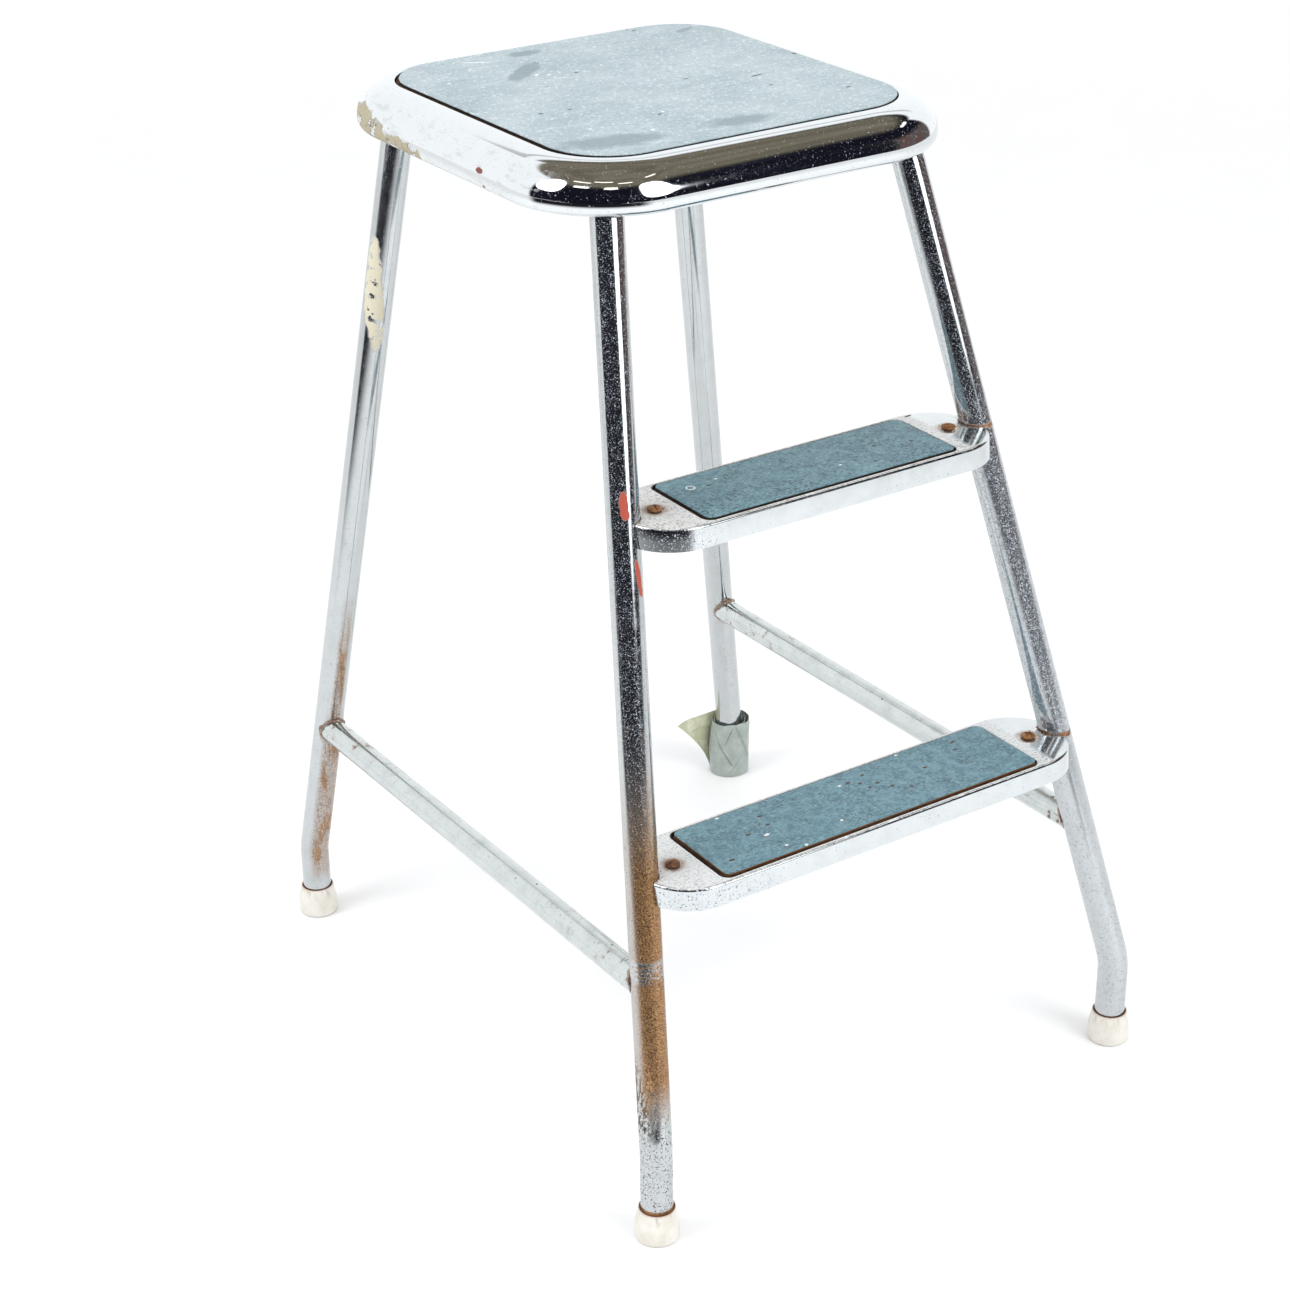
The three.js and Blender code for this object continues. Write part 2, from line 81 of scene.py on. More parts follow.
TREAD_PAST_LEG = 2.0
TREAD_HALF_DEPTH = 38.5
TREAD_CORNER = 38.2
TREAD_SHEET = 1.5
TREAD_ROUND = 2.2
TREAD_FLARE = 1.0  # how far the skirt leans out at its lower edge
TREAD_TOP_EDGE = TREAD_ROUND + TREAD_FLARE
TREAD_RECESS_GAP = 2.3
TREAD_RECESS_FILLET = 0.4
TREAD_RECESS_RIM = TREAD_RECESS_GAP + TREAD_RECESS_FILLET
TREAD_NOTCH_RADIUS = 11.6
TREAD_HOLE_RADIUS = 2.8
DIMPLE_FLAT, DIMPLE_RADIUS, DIMPLE_DEPTH = 3.0, 9.0, 0.9  # the dished metal round a screw
PANEL_CORNER = 5.0


# ---- Reading the frame ---------------------------------------------------------------------------------

def corners(node):
    """A CAD node's lowest and highest corners, in millimetres."""
    low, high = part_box(node)
    return np.array(low) / MM, np.array(high) / MM


def middle(node):
    low, high = corners(node)
    return (low + high) / 2


def end_point(node, axis, end, depth):
    """The middle of the part of a CAD node within depth of one end (0 low, 1 high) of an axis."""
    points = np.array([v.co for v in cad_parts[node].data.vertices]) / MM
    limit = corners(node)[end][axis]
    near = points[np.abs(points[:, axis] - limit) < depth]
    return (near.min(axis=0) + near.max(axis=0)) / 2


class Leg:
    """A leg's centre line: upright at the foot, bent at the kink, then straight to the top."""

    def __init__(self, row, side_name):
        self.row = row
        self.side_name = side_name
        self.side = SIDES[side_name]
        self.name = f"{row}_{side_name}"
        self.node = f"leg_{self.name}"
        foot = middle(f"foot_cap_{self.name}")
        self.base = np.array([foot[0], foot[1], corners(self.node)[0][2]])
        self.kink = np.array([foot[0], foot[1], KINK_HEIGHT[row]])
        self.top = end_point(self.node, 2, 1, 0.05)
        self.slope = (self.top - self.kink) / np.linalg.norm(self.top - self.kink)

    def at(self, z):
        """The point of the sloping line at height z."""
        return self.kink + self.slope * (z - self.kink[2]) / self.slope[2]

    def skin(self, z, turn):
        """The point on the tube at height z on its side at turn degrees: 0 towards -Y, 90 towards +X."""
        a = math.radians(turn)
        return self.at(z) + LEG_RADIUS * np.array([math.sin(a), -math.cos(a), 0.0])

    def stretcher_joint(self):
        """Where the centre line of the stretcher meets this one."""
        return self.at(end_point(f"stretcher_{self.side_name}", 1, ROWS.index(self.row), STRETCHER_END)[2])

    def path(self, bend_steps=18, straight_steps=36):
        run = LEG_BEND_RADIUS * math.tan(math.acos(self.slope[2]) / 2)
        start = self.kink - np.array([0, 0, run])
        end = self.kink + self.slope * run
        points = [self.base + (start - self.base) * t for t in np.linspace(0, 1, 5)[:-1]]
        for t in np.linspace(0, 1, bend_steps + 1)[:-1]:
            points.append((1 - t) ** 2 * start + 2 * t * (1 - t) * self.kink + t**2 * end)
        points += [end + (self.top - end) * t for t in np.linspace(0, 1, straight_steps + 1)]
        return np.array(points)


LEGS = {f"{row}_{side_name}": Leg(row, side_name) for row in ROWS for side_name in SIDES}

SHELL_LOW, SHELL_HIGH = corners("seat_shell")
SEAT_LOW, SEAT_HIGH = corners("seat_linoleum")
SEAT_TOP = SEAT_HIGH[2]
SEAT_CENTRE = middle("seat_shell")


# ---- Materials -----------------------------------------------------------------------------------------

def tint(red, green, blue):
    """A colour given as sRGB bytes, as linear values for a node."""
    values = [c / 255 for c in (red, green, blue)]
    return [c / 12.92 if c <= 0.04045 else ((c + 0.055) / 1.055) ** 2.4 for c in values] + [1.0]


ACROSS = np.array([0.834, -0.551, 0.0])  # along the front left face of a leg


class Surface:
    """One material. Its textures work in millimetres in the row frame."""

    def __init__(self, name):
        self.material = bpy.data.materials.new(name)
        self.material.use_nodes = True
        self.tree = self.material.node_tree
        self.tree.nodes.clear()
        place = self.add("ShaderNodeTexCoord").outputs["Object"]
        self.place = self.vector("MULTIPLY", place, (1 / MM,) * 3).outputs[0]

    def add(self, kind, inputs=(), **settings):
        node = self.tree.nodes.new(kind)
        for key, value in settings.items():
            setattr(node, key, value)
        for key, value in dict(inputs).items():
            if isinstance(value, bpy.types.NodeSocket):
                self.tree.links.new(value, node.inputs[key])
            else:
                node.inputs[key].default_value = value
        return node

    def math(self, operation, *values):
        return self.add("ShaderNodeMath", enumerate(values), operation=operation).outputs[0]

    def vector(self, operation, *values):
        return self.add("ShaderNodeVectorMath", enumerate(values), operation=operation)

    def parts(self, vector):
        return self.add("ShaderNodeSeparateXYZ", {0: vector}).outputs

    def axis(self, index):
        return self.parts(self.place)[index]

    def reach(self):
        """The distance from the origin of the row frame."""
        return self.vector("LENGTH", self.place).outputs["Value"]

    def turn(self, parts):
        """The direction of a vector in degrees: 0 towards -Y, growing towards +X."""
        return self.math("DEGREES", self.math("ARCTAN2", parts[0], self.math("MULTIPLY", parts[1], -1.0)))

    def across(self, leg):
        """How far a point is from a leg's plane that faces the front left: -11 to 11 on its tube."""
        x, y, z = (self.axis(i) for i in range(3))
        total = self.total(self.both(x, ACROSS[0]), self.both(y, ACROSS[1]))
        rise = self.math("MAXIMUM", self.math("SUBTRACT", z, leg.kink[2]), 0.0)
        lean = leg.slope @ ACROSS / leg.slope[2]
        return self.math("SUBTRACT", total, self.total(self.both(rise, lean), leg.kink @ ACROSS))

    def fold(self, operation, first, *rest):
        for value in rest:
            first = self.math(operation, first, value)
        return first

    def both(self, *masks):
        return self.fold("MULTIPLY", *masks)

    def either(self, *masks):
        return self.fold("MAXIMUM", *masks)

    def total(self, *values):
        return self.fold("ADD", *values)

    def inverse(self, mask):
        return self.math("SUBTRACT", 1.0, mask)

    def rise(self, value, low, high):
        """0 up to low, 1 from high, smooth between; low may be above high."""
        if low > high:
            return self.inverse(self.rise(value, high, low))
        inputs = {"Value": value, "From Min": low, "From Max": high}
        return self.add("ShaderNodeMapRange", inputs, interpolation_type="SMOOTHSTEP").outputs[0]

    def band(self, value, low, full, still_full, high):
        """0 outside low to high, 1 from full to still_full, smooth between."""
        return self.both(self.rise(value, low, full), self.rise(value, high, still_full))

    def spread(self, value, low, high):
        """Maps 0 to 1 onto low to high."""
        return self.add("ShaderNodeMapRange", {"Value": value, "To Min": low, "To Max": high}).outputs[0]

    def scaled_place(self, size, stretch, seed):
        scaled = self.vector("MULTIPLY", self.place, [1 / (size * s) for s in stretch]).outputs[0]
        return self.vector("ADD", scaled, (17.3 * seed, 5.1 * seed, 9.7 * seed)).outputs[0]

    def noise(self, size, detail=2.0, roughness=0.5, stretch=(1, 1, 1), seed=0.0, distortion=0.0):
        """Noise from 0 to 1 with features about size mm across, longer where stretch is over 1."""
        inputs = {"Vector": self.scaled_place(size, stretch, seed), "Scale": 1.0, "Detail": detail}
        inputs.update({"Roughness": roughness, "Distortion": distortion})
        return self.add("ShaderNodeTexNoise", inputs).outputs[0]

    def grain(self, size, low, high, detail=3, roughness=0.6, **place):
        """A mask of noise: 0 where the noise is under low, 1 where it is over high."""
        return self.rise(self.noise(size, detail, roughness, **place), low, high)

    def specks(self, pitch, radius, share, seed=0.0):
        """1 inside round specks, in a share of the cells of a grid about pitch mm across."""
        inputs = {"Vector": self.scaled_place(pitch, (1, 1, 1), seed), "Scale": 1.0}
        cells = self.add("ShaderNodeTexVoronoi", inputs).outputs
        draw = self.add("ShaderNodeSeparateColor", {0: cells["Color"]}).outputs[0]
        inside = self.rise(cells["Distance"], 1.1 * radius / pitch, 0.7 * radius / pitch)
        return self.both(self.math("LESS_THAN", draw, share), inside)

    def mark(self, centre, radii, turn=0.0, ragged=0.3, grain=3.0, edge=0.2):
        """1 inside an ellipsoid, turned about +Z by turn degrees, whose edge noise makes ragged."""
        inputs = {"Vector": self.place, "Location": centre, "Scale": radii}
        inputs["Rotation"] = (0, 0, math.radians(turn))
        inside = self.add("ShaderNodeMapping", inputs, vector_type="TEXTURE").outputs[0]
        distance = self.vector("LENGTH", inside).outputs["Value"]
        wobble = self.both(self.math("SUBTRACT", self.noise(grain, 3), 0.5), 2 * ragged)
        return self.rise(self.total(distance, wobble), 1 + edge, 1 - edge)

    def marks(self, height, rows, ragged=0.5, grain=1.6, edge=0.15):
        """Flat marks at one height, each row (x, y, radius, other radius, turn)."""
        return self.either(
            *[self.mark((x, y, height), (a, b, 4), turn, ragged, grain, edge) for x, y, a, b, turn in rows]
        )

    def mix(self, mask, low, high):
        """The colour low where mask is 0 and high where it is 1."""
        return self.add("ShaderNodeMix", {0: mask, 6: low, 7: high}, data_type="RGBA").outputs[2]

    def blend(self, mask, low, high):
        """The value low where mask is 0 and high where it is 1."""
        return self.add("ShaderNodeMix", {0: mask, 2: low, 3: high}, data_type="FLOAT").outputs[0]

    def coats(self, colour, *coats):
        """Lays coats over a colour, each (mask, how much of it covers, red, green, blue)."""
        for mask, share, *rgb in coats:
            colour = self.mix(self.both(mask, share), colour, tint(*rgb))
        return colour

    def bump(self, height, depth, strength):
        inputs = {"Height": height, "Distance": depth * MM, "Strength": strength}
        return self.add("ShaderNodeBump", inputs).outputs[0]

    def glow(self, colour):
        return self.add("ShaderNodeEmission", {"Color": colour, "Strength": 1.0}).outputs[0]

    def close(self, shader):
        self.add("ShaderNodeOutputMaterial", {"Surface": shader})
        return self.material

    def finish(self, **inputs):
        """Closes the tree with one Principled shader, whose inputs are named with _ for a space."""
        named = {key.replace("_", " "): value for key, value in inputs.items()}
        return self.close(self.add("ShaderNodeBsdfPrincipled", named).outputs[0])


CHROME = tint(216, 221, 222)
LEG_CHROME = tint(199, 203, 204)
SHELL_CHROME = tint(224, 228, 230)
DULL_CHROME = tint(206, 212, 211)
CLOUDED_CHROME = tint(176, 182, 182)
OXIDE = tint(100, 108, 124)
PALE_OXIDE = tint(200, 209, 226)
RUST = tint(108, 70, 46)
RUST_DARK = tint(52, 36, 28)
RUST_BRIGHT = tint(158, 110, 68)
STAIN = tint(190, 150, 106)
STAIN_DARK = tint(112, 82, 54)


def rust_colour(s, seed=0.0):
    """Rust from dark pits to ochre."""
    warm = s.mix(s.grain(9, 0.35, 0.65, seed=seed + 3), RUST, RUST_BRIGHT)
    return s.mix(s.grain(1.3, 0.50, 0.66, 4, 0.65, seed=seed), warm, RUST_DARK)


def chrome(
    name, tone, polish, pitting, haze, rust, stain=None, worn=None, layers=(), film=0.0, speck_size=1.15,
):
    """Chromed steel. pitting is how much of it is speckled, haze how dull it is in patches and film how
    much of a pale bloom lies on it. rust, stain and worn are functions of the Surface that give masks of
    bare rust, a thin brown film and heavy pitting. Each layer is (mask function, colour, roughness)."""
    s = Surface(name)
    amount = s.spread(s.noise(26, 3, 0.6, seed=2), 0.45 * pitting, pitting)
    if worn:
        amount = s.either(amount, worn(s))
    threshold = s.math("SUBTRACT", 0.72, s.both(amount, 0.17))
    pits = s.rise(s.math("SUBTRACT", s.noise(speck_size, 2.0, 0.6, seed=4), threshold), 0.0, 0.03)
    cloud = s.both(s.grain(14, 0.35, 0.8, roughness=0.55, seed=6), haze)
    pit_colour = s.mix(s.grain(2.6, 0.45, 0.55, 2, seed=14), OXIDE, PALE_OXIDE)
    colour = s.mix(pits, s.mix(cloud, tone, CLOUDED_CHROME), pit_colour)
    metal = s.math("SUBTRACT", 1.0 - film, s.both(pits, 0.8 - film))
    rough = s.total(polish, s.both(cloud, 0.3), s.both(pits, 0.4))
    height = s.inverse(pits)
    for place, layer_colour, layer_roughness in layers:
        mask = place(s)
        colour = s.mix(mask, colour, layer_colour)
        metal = s.both(metal, s.inverse(mask))
        rough = s.blend(mask, rough, layer_roughness)
        height = s.total(height, s.both(mask, 0.8))
    if stain:
        mask = stain(s)
        colour = s.mix(mask, colour, s.mix(s.grain(0.9, 0.42, 0.58, 2, 0.65, seed=19), STAIN, STAIN_DARK))
        metal = s.both(metal, s.inverse(s.both(mask, 0.25)))
        rough = s.total(rough, s.both(mask, 0.16))
    mask = rust(s)
    colour = s.mix(mask, colour, rust_colour(s))
    metal = s.both(metal, s.inverse(s.both(mask, 0.92)))
    rough = s.blend(mask, rough, 0.72)
    height = s.total(height, s.both(mask, s.noise(1.4, 4, 0.7, seed=8)))
    return s.finish(Base_Color=colour, Metallic=metal, Roughness=rough, Normal=s.bump(height, 0.05, 0.6))


def rust_specks(share, pitch, radius):
    return lambda s: s.specks(pitch, radius, share, 11)


def near_weld(centre, reach):
    """Rust that bleeds out of a weld."""
    return lambda s: s.mark(centre, (reach, reach, reach * 0.9), ragged=0.9, grain=7, edge=0.35)


def weld_line(leg, height):
    """An uneven line of rust round the tread's side of a leg, where the two meet."""
    inward = 4 if leg.side < 0 else -7

    def place(s):
        z = s.total(s.axis(2), s.both(s.noise(7, 3, 0.6, seed=13), 5.0))
        reach = s.both(s.math("SUBTRACT", s.axis(0), leg.at(height)[0]), -leg.side)
        return s.both(
            s.rise(z, height, height + 1.5), s.rise(z, height + 4.6, height + 3.2),
            s.rise(reach, inward - 2, inward + 2), s.grain(3, 0.36, 0.5, seed=12),
        )
    return place


# ---- Meshes --------------------------------------------------------------------------------------------

@contextmanager
def edited(mesh):
    """A mesh as a bmesh, written back at the end."""
    bm = bmesh.new()
    bm.from_mesh(mesh)
    yield bm
    bm.to_mesh(mesh)
    bm.free()


def mark_sharp(bm, degrees):
    for face in bm.faces:
        face.smooth = True
    for edge in bm.edges:
        if len(edge.link_faces) == 2:
            edge.smooth = edge.calc_face_angle(0.0) < math.radians(degrees)


def new_object(name, data):
    obj = bpy.data.objects.new(name, data)
    bpy.context.scene.collection.objects.link(obj)
    return obj


def mesh_of(name, points, faces, sharp=None, weld=False):
    """A mesh from points in millimetres, with its faces turned outward. weld joins points that coincide."""
    mesh = bpy.data.meshes.new(name)
    mesh.from_pydata([tuple(p) for p in np.asarray(points, float) * MM], [], faces)
    with edited(mesh) as bm:
        if weld:
            bmesh.ops.remove_doubles(bm, verts=bm.verts, dist=0.002 * MM)
        bmesh.ops.recalc_face_normals(bm, faces=bm.faces)
        if sharp:
            mark_sharp(bm, sharp)
    return mesh


def piece(name, shape, surface, nodes=(), sharp=38, weld=False):
    """A piece of the stool from (points, faces). It stands for the CAD nodes given."""
    obj = new_object(name, mesh_of(name, *shape, sharp, weld))
    obj.data.materials.append(surface)
    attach(obj, BODY)
    if nodes:
        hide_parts(*nodes)
    return obj


def settle(obj, sharp):
    """Applies an object's modifiers."""
    bpy.context.view_layer.update()
    graph = bpy.context.evaluated_depsgraph_get()
    made = bpy.data.meshes.new_from_object(obj.evaluated_get(graph), depsgraph=graph)
    obj.modifiers.clear()
    obj.data = made
    with edited(made) as bm:
        mark_sharp(bm, sharp)


def carve(obj, cutters, sharp):
    """Cuts closed shapes, each (points, faces), out of an object."""
    tools = [new_object("cutter", mesh_of("cutter", *shape)) for shape in cutters]
    for tool in tools:
        modifier = obj.modifiers.new("cut", "BOOLEAN")
        modifier.operation = "DIFFERENCE"
        modifier.solver = "EXACT"
        modifier.object = tool
    settle(obj, sharp)
    for tool in tools:
        bpy.data.objects.remove(tool)


def make_sheet(obj, thickness, sharp, offset=0, even=False):
    """Gives an open surface its thickness in millimetres: offset -1 is inward, 0 on both sides."""
    solid = obj.modifiers.new("sheet", "SOLIDIFY")
    solid.thickness = thickness * MM
    solid.offset = offset
    solid.use_even_offset = even
    settle(obj, sharp)


def wobble(point, size, seed=0.0):
    """Smooth noise from about -1 to 1."""
    p = np.asarray(point) / size
    return noise.noise(Vector((p[0] + 13.1 * seed, p[1] + 7.7 * seed, p[2] + 3.3 * seed)))


class Outline:
    """A rounded rectangle as base points and outward directions, so that it can be offset."""

    def __init__(self, half, corner, centre, arc_steps, side_steps):
        self.half = np.array(half)
        self.corner = corner
        self.centre = np.array(centre[:2])
        hubs = self.centre + np.array([(1, 1), (-1, 1), (-1, -1), (1, -1)]) * (self.half - corner)
        base, out = [], []
        for quarter, hub in enumerate(hubs):
            for angle in np.linspace(quarter, quarter + 1, arc_steps + 1) * math.pi / 2:
                out.append(np.array([math.cos(angle), math.sin(angle)]))
                base.append(hub + corner * out[-1])
            next_hub = hubs[(quarter + 1) % 4]
            for t in np.linspace(0, 1, side_steps + 1)[1:-1]:
                base.append(hub + (next_hub - hub) * t + corner * out[-1])
                out.append(out[-1])
        self.base = np.array(base)
        self.out = np.array(out)

    def ring(self, offset, z):
        points = self.base + self.out * np.reshape(offset, (-1, 1))
        return np.column_stack([points, np.full(len(points), z)])

    def rings(self, section):
        return [self.ring(offset, z) for offset, z in section]

    def wavy(self, size, seed, z=0):
        """Smooth noise from about -1 to 1 at each base point."""
        return np.array([wobble((*b, z), size, seed) for b in self.base])

    def distance(self, point):
        """How far a point is outside the outline, or minus how far it is inside."""
        beyond = np.abs(np.asarray(point)[:2] - self.centre) - (self.half - self.corner)
        outside = np.linalg.norm(np.maximum(beyond, 0))
        return outside + min(max(beyond[0], beyond[1]), 0) - self.corner


def stitch(count, rings, first=0, closed=False):
    """Quads between successive rings of count points; closed joins the last ring to the first."""
    faces = []
    for ring in range(rings if closed else rings - 1):
        low = first + ring * count
        high = first + ((ring + 1) % rings) * count
        for i in range(count):
            j = (i + 1) % count
            faces.append((low + i, low + j, high + j, high + i))
    return faces


def stack(rings):
    """A closed solid through successive rings, with flat ends."""
    count = len(rings[0])
    last = (len(rings) - 1) * count
    ends = [tuple(range(count))[::-1], tuple(range(last, last + count))]
    return np.concatenate(rings), stitch(count, len(rings)) + ends


def loop(rings):
    """A closed solid through successive rings, the last of which meets the first."""
    return np.concatenate(rings), stitch(len(rings[0]), len(rings), closed=True)


def shrunk(ring, shares):
    """Rings that shrink a ring towards its middle."""
    hub = ring.mean(axis=0)
    return [hub + (ring - hub) * share for share in shares]


def arc(centre, radii, start, end, steps):
    """Points (offset, height) on an ellipse, from one angle to another in degrees."""
    angles = np.radians(np.linspace(start, end, steps + 1))
    return [(centre[0] + radii[0] * math.cos(a), centre[1] + radii[1] * math.sin(a)) for a in angles]


def full_turn(steps):
    return np.linspace(0, 2 * math.pi, steps, endpoint=False)


def frames_along(path, closed=False):
    """Two unit vectors across the path at each point, turning as little as possible."""
    path = np.asarray(path)
    if closed:
        tangents = np.roll(path, -1, axis=0) - np.roll(path, 1, axis=0)
    else:
        tangents = np.gradient(path, axis=0)
    tangents /= np.linalg.norm(tangents, axis=1)[:, None]
    across = np.cross(tangents[0], [0.0, 0.3, 1.0])
    if np.linalg.norm(across) < 0.2:
        across = np.cross(tangents[0], [1.0, 0.0, 0.0])
    frames = []
    for tangent in tangents:
        across = across - tangent * (across @ tangent)
        across = across / np.linalg.norm(across)
        frames.append((across, np.cross(tangent, across)))
    return frames


def hoop(centre, radius, across, angles):
    """A ring of points round a centre, in the plane of the two vectors across."""
    first, second = across
    directions = np.cos(angles)[:, None] * first + np.sin(angles)[:, None] * second
    return centre + np.reshape(radius, (-1, 1)) * directions


def tube(path, radius, sides=64):
    """Rings of a tube; radius is a number or a function of (share along, angle)."""
    angles = full_turn(sides)
    rings = []
    for i, (centre, across) in enumerate(zip(path, frames_along(path))):
        radii = [radius(i / (len(path) - 1), a) for a in angles] if callable(radius) else radius
        rings.append(hoop(centre, radii, across, angles))
    return rings


def rod(start, end, radius, sides):
    """A closed cylinder between two points."""
    return stack(tube([np.asarray(start, float), np.asarray(end, float)], radius, sides))


def lathe(profile, centre, sides):
    """A turned solid about +Z from (radius, height) pairs that start and end on the axis."""
    angles = full_turn(sides)
    ends = [np.array([[0, 0, height]]) for _, height in (profile[0], profile[-1])]
    rings = [
        np.column_stack([radius * np.cos(angles), radius * np.sin(angles), np.full(sides, height)])
        for radius, height in profile[1:-1]
    ]
    points = np.concatenate([ends[0], *rings, ends[1]]) + centre
    faces = stitch(sides, len(rings), first=1)
    last = len(points) - 1
    for i in range(sides):
        j = (i + 1) % sides
        faces += [(0, 1 + j, 1 + i), (last, last - sides + i, last - sides + j)]
    return points, faces


def bead(name, path, radius, surface, seed, lump=0.3, thin_below=False):
    """A lumpy weld bead along a closed path."""
    middle_z = np.asarray(path)[:, 2].mean()
    rings = []
    for centre, across in zip(path, frames_along(path, closed=True)):
        r = radius * (1 + lump * wobble(centre, 3.2, seed) + 0.5 * lump * wobble(centre, 1.3, seed + 1))
        if thin_below:
            r *= 0.62 + 0.42 * math.tanh((centre[2] - middle_z) / 3.5)
        rings.append(hoop(centre, r, across, full_turn(12)))
    piece(name, loop(rings), surface, sharp=80)


# ---- Seat ----------------------------------------------------------------------------------------------

SHELL_HALF = (SHELL_HIGH - SHELL_LOW)[:2] / 2
# From the shell's outer edge to the recess line.
SHELL_RIM = SHELL_HALF[0] - (SEAT_HIGH[0] - SEAT_LOW[0]) / 2 - SEAT_GAP
RECESS = Outline(SHELL_HALF - SHELL_RIM, SEAT_CORNER, SEAT_CENTRE, 28, 28)


def build_seat_shell(surface):
    """The pressing, and the flat sheet across its recess that the backing board rests on."""
    top, low = SHELL_HIGH[2], SHELL_LOW[2]
    web_top = corners("seat_backing_board")[0][2] - CAD_GAP
    round_z = top - SHELL_ROUND_HEIGHT
    curl_hub = (SHELL_RIM - SHELL_CURL, round_z)
    curl_depth = round_z - low
    lip, fillet, sheet = SHELL_LIP, SHELL_INNER_FILLET, SHELL_SHEET
    reach = SHELL_RIM - lip
    section = arc((lip + fillet, round_z), (reach - fillet, SHELL_ROUND_HEIGHT), 90, 0, 30)
    section += arc(curl_hub, (SHELL_CURL, curl_depth), 0, -90, 10)[1:]
    section += arc(curl_hub, (SHELL_CURL - sheet, curl_depth - sheet), -90, 0, 8)
    section += arc((lip, round_z), (reach - sheet, SHELL_ROUND_HEIGHT - sheet), 0, 84, 14)[1:]
    section += [(lip + sheet, top - sheet - 0.6), (lip + sheet, web_top - sheet), (lip, web_top)]
    section += arc((lip + fillet, top - fillet), (fillet, fillet), 180, 90, 5)[:-1]
    points, faces = loop(RECESS.rings(section))
    # The pressing is a little uneven, which bends what it mirrors.
    for p in points:
        p[2] += 0.05 * wobble(p, 55, 2) * min(1.0, (p[2] - low) / 10)
    piece("seat_shell_pressing", (points, faces), surface, ["seat_shell"], sharp=50)
    web = [RECESS.ring(lip + 0.2, z) for z in (web_top - sheet, web_top)]
    piece("seat_shell_web", stack(web), surface)


def linoleum_shape(outline, inset, section, shares, sag):
    """A panel whose edge is drawn in by inset. Its top, from the section's last ring on, sags."""
    rings = [outline.ring(offset - inset, z) for offset, z in section]
    points, faces = stack(rings + shrunk(rings[-1], shares))
    for p in points[(len(section) - 1) * len(inset):]:
        p[2] += sag(p)
    return points, faces


def build_seat_panel(linoleum, board):
    low, high = SEAT_LOW, SEAT_HIGH
    outline = Outline((high - low)[:2] / 2, SEAT_CORNER - SEAT_GAP, (low + high) / 2, 28, 40)
    # Worn back from the shell on the left, and a little frayed all round.
    inset = 1.2 * np.maximum(0.0, -outline.out[:, 0]) ** 3 - 0.75
    inset += 0.3 * outline.wavy(5, 4) + 0.15 * outline.wavy(1.7, 5)
    top = high[2]
    shape = linoleum_shape(
        outline, inset,
        ((-0.3, low[2]), (0.0, top - 1.4), (0.0, top - 0.7), (-0.25, top - 0.25), (-0.7, top)),
        (0.98, 0.95, 0.9, 0.84, 0.76, 0.67, 0.57, 0.46, 0.35, 0.24, 0.13, 0.05),
        lambda p: 0.14 * wobble(p, 42, 6) + 0.05 * wobble(p, 11, 7) - 0.19,
    )
    piece("seat_linoleum_sheet", shape, linoleum, ["seat_linoleum"], sharp=60)

    low, high = corners("seat_backing_board")
    edge = SHELL_LIP + 0.3 * RECESS.wavy(4, 9, 3)
    shape = stack(RECESS.rings([(edge - 0.9, low[2]), (edge - 0.5, low[2] + 1.2), (edge - 0.7, high[2])]))
    piece("seat_backing_sheet", shape, board, ["seat_backing_board"])


# ---- Legs and what is on them --------------------------------------------------------------------------

def build_leg(leg, surface):
    def radius(share, angle):
        """The tube is pressed a little flat at the bend."""
        near_bend = math.exp(-(((share - 0.22) / 0.08) ** 2))
        return LEG_RADIUS * (1 - 0.012 * near_bend * (1 + math.cos(2 * angle)) / 2)

    outer = tube(leg.path(), radius)
    inner = tube(leg.path(), LEG_RADIUS - LEG_WALL)
    points, faces = loop(outer + inner[::-1])
    points[:, 2] = np.minimum(points[:, 2], corners(leg.node)[1][2])
    piece(f"{leg.node}_tube", (points, faces), surface, [leg.node], sharp=50)


def build_cap(leg, surface):
    node = f"foot_cap_{leg.name}"
    low, high = corners(node)
    r = (high[0] - low[0]) / 2
    height = high[2] - low[2]
    bore = LEG_RADIUS + CAP_SLACK
    profile = [(0, 0.25), (0.5 * r, 0.25), (0.66 * r, 0.0), (0.8 * r, 0.0)]
    for a in np.radians(np.arange(20, 91, 14)):
        profile.append((r - 2.2 + 2.2 * math.sin(a), 2.6 - 2.6 * math.cos(a)))
    profile += [(r, 8.0), (r - 0.25, 11.5), (r - 0.75, 15.0), (r - 1.35, 18.5), (r - 1.9, 21.5)]
    profile += [(r - 2.2, height - 0.7), (r - 2.5, height - 0.15), (r - 2.9, height), (bore + 0.4, height)]
    profile += [(bore, height - 0.4), (bore, CAP_FLOOR), (0, CAP_FLOOR)]
    points, faces = lathe(profile, (*leg.base[:2], 0.0), 72)
    for p in points:
        arm = p[:2] - leg.base[:2]
        if np.linalg.norm(arm) > bore + 0.6 and p[2] > 1.0:
            p[:2] += arm * (0.012 * wobble(p, 9, leg.side + leg.base[1] / 90) - 0.008)
    piece(f"{node}_moulding", (points, faces), surface, [node], sharp=45)


def build_top_weld(leg, surface):
    """The weld between a leg and its plate."""
    hub = leg.top - np.array([0, 0, 0.6])
    path = [hub + (LEG_RADIUS + 0.3) * np.array([math.cos(a), math.sin(a), 0.0]) for a in full_turn(60)]
    bead(f"weld_{leg.node}_top", path, 1.7, surface, leg.base[0] / 50)


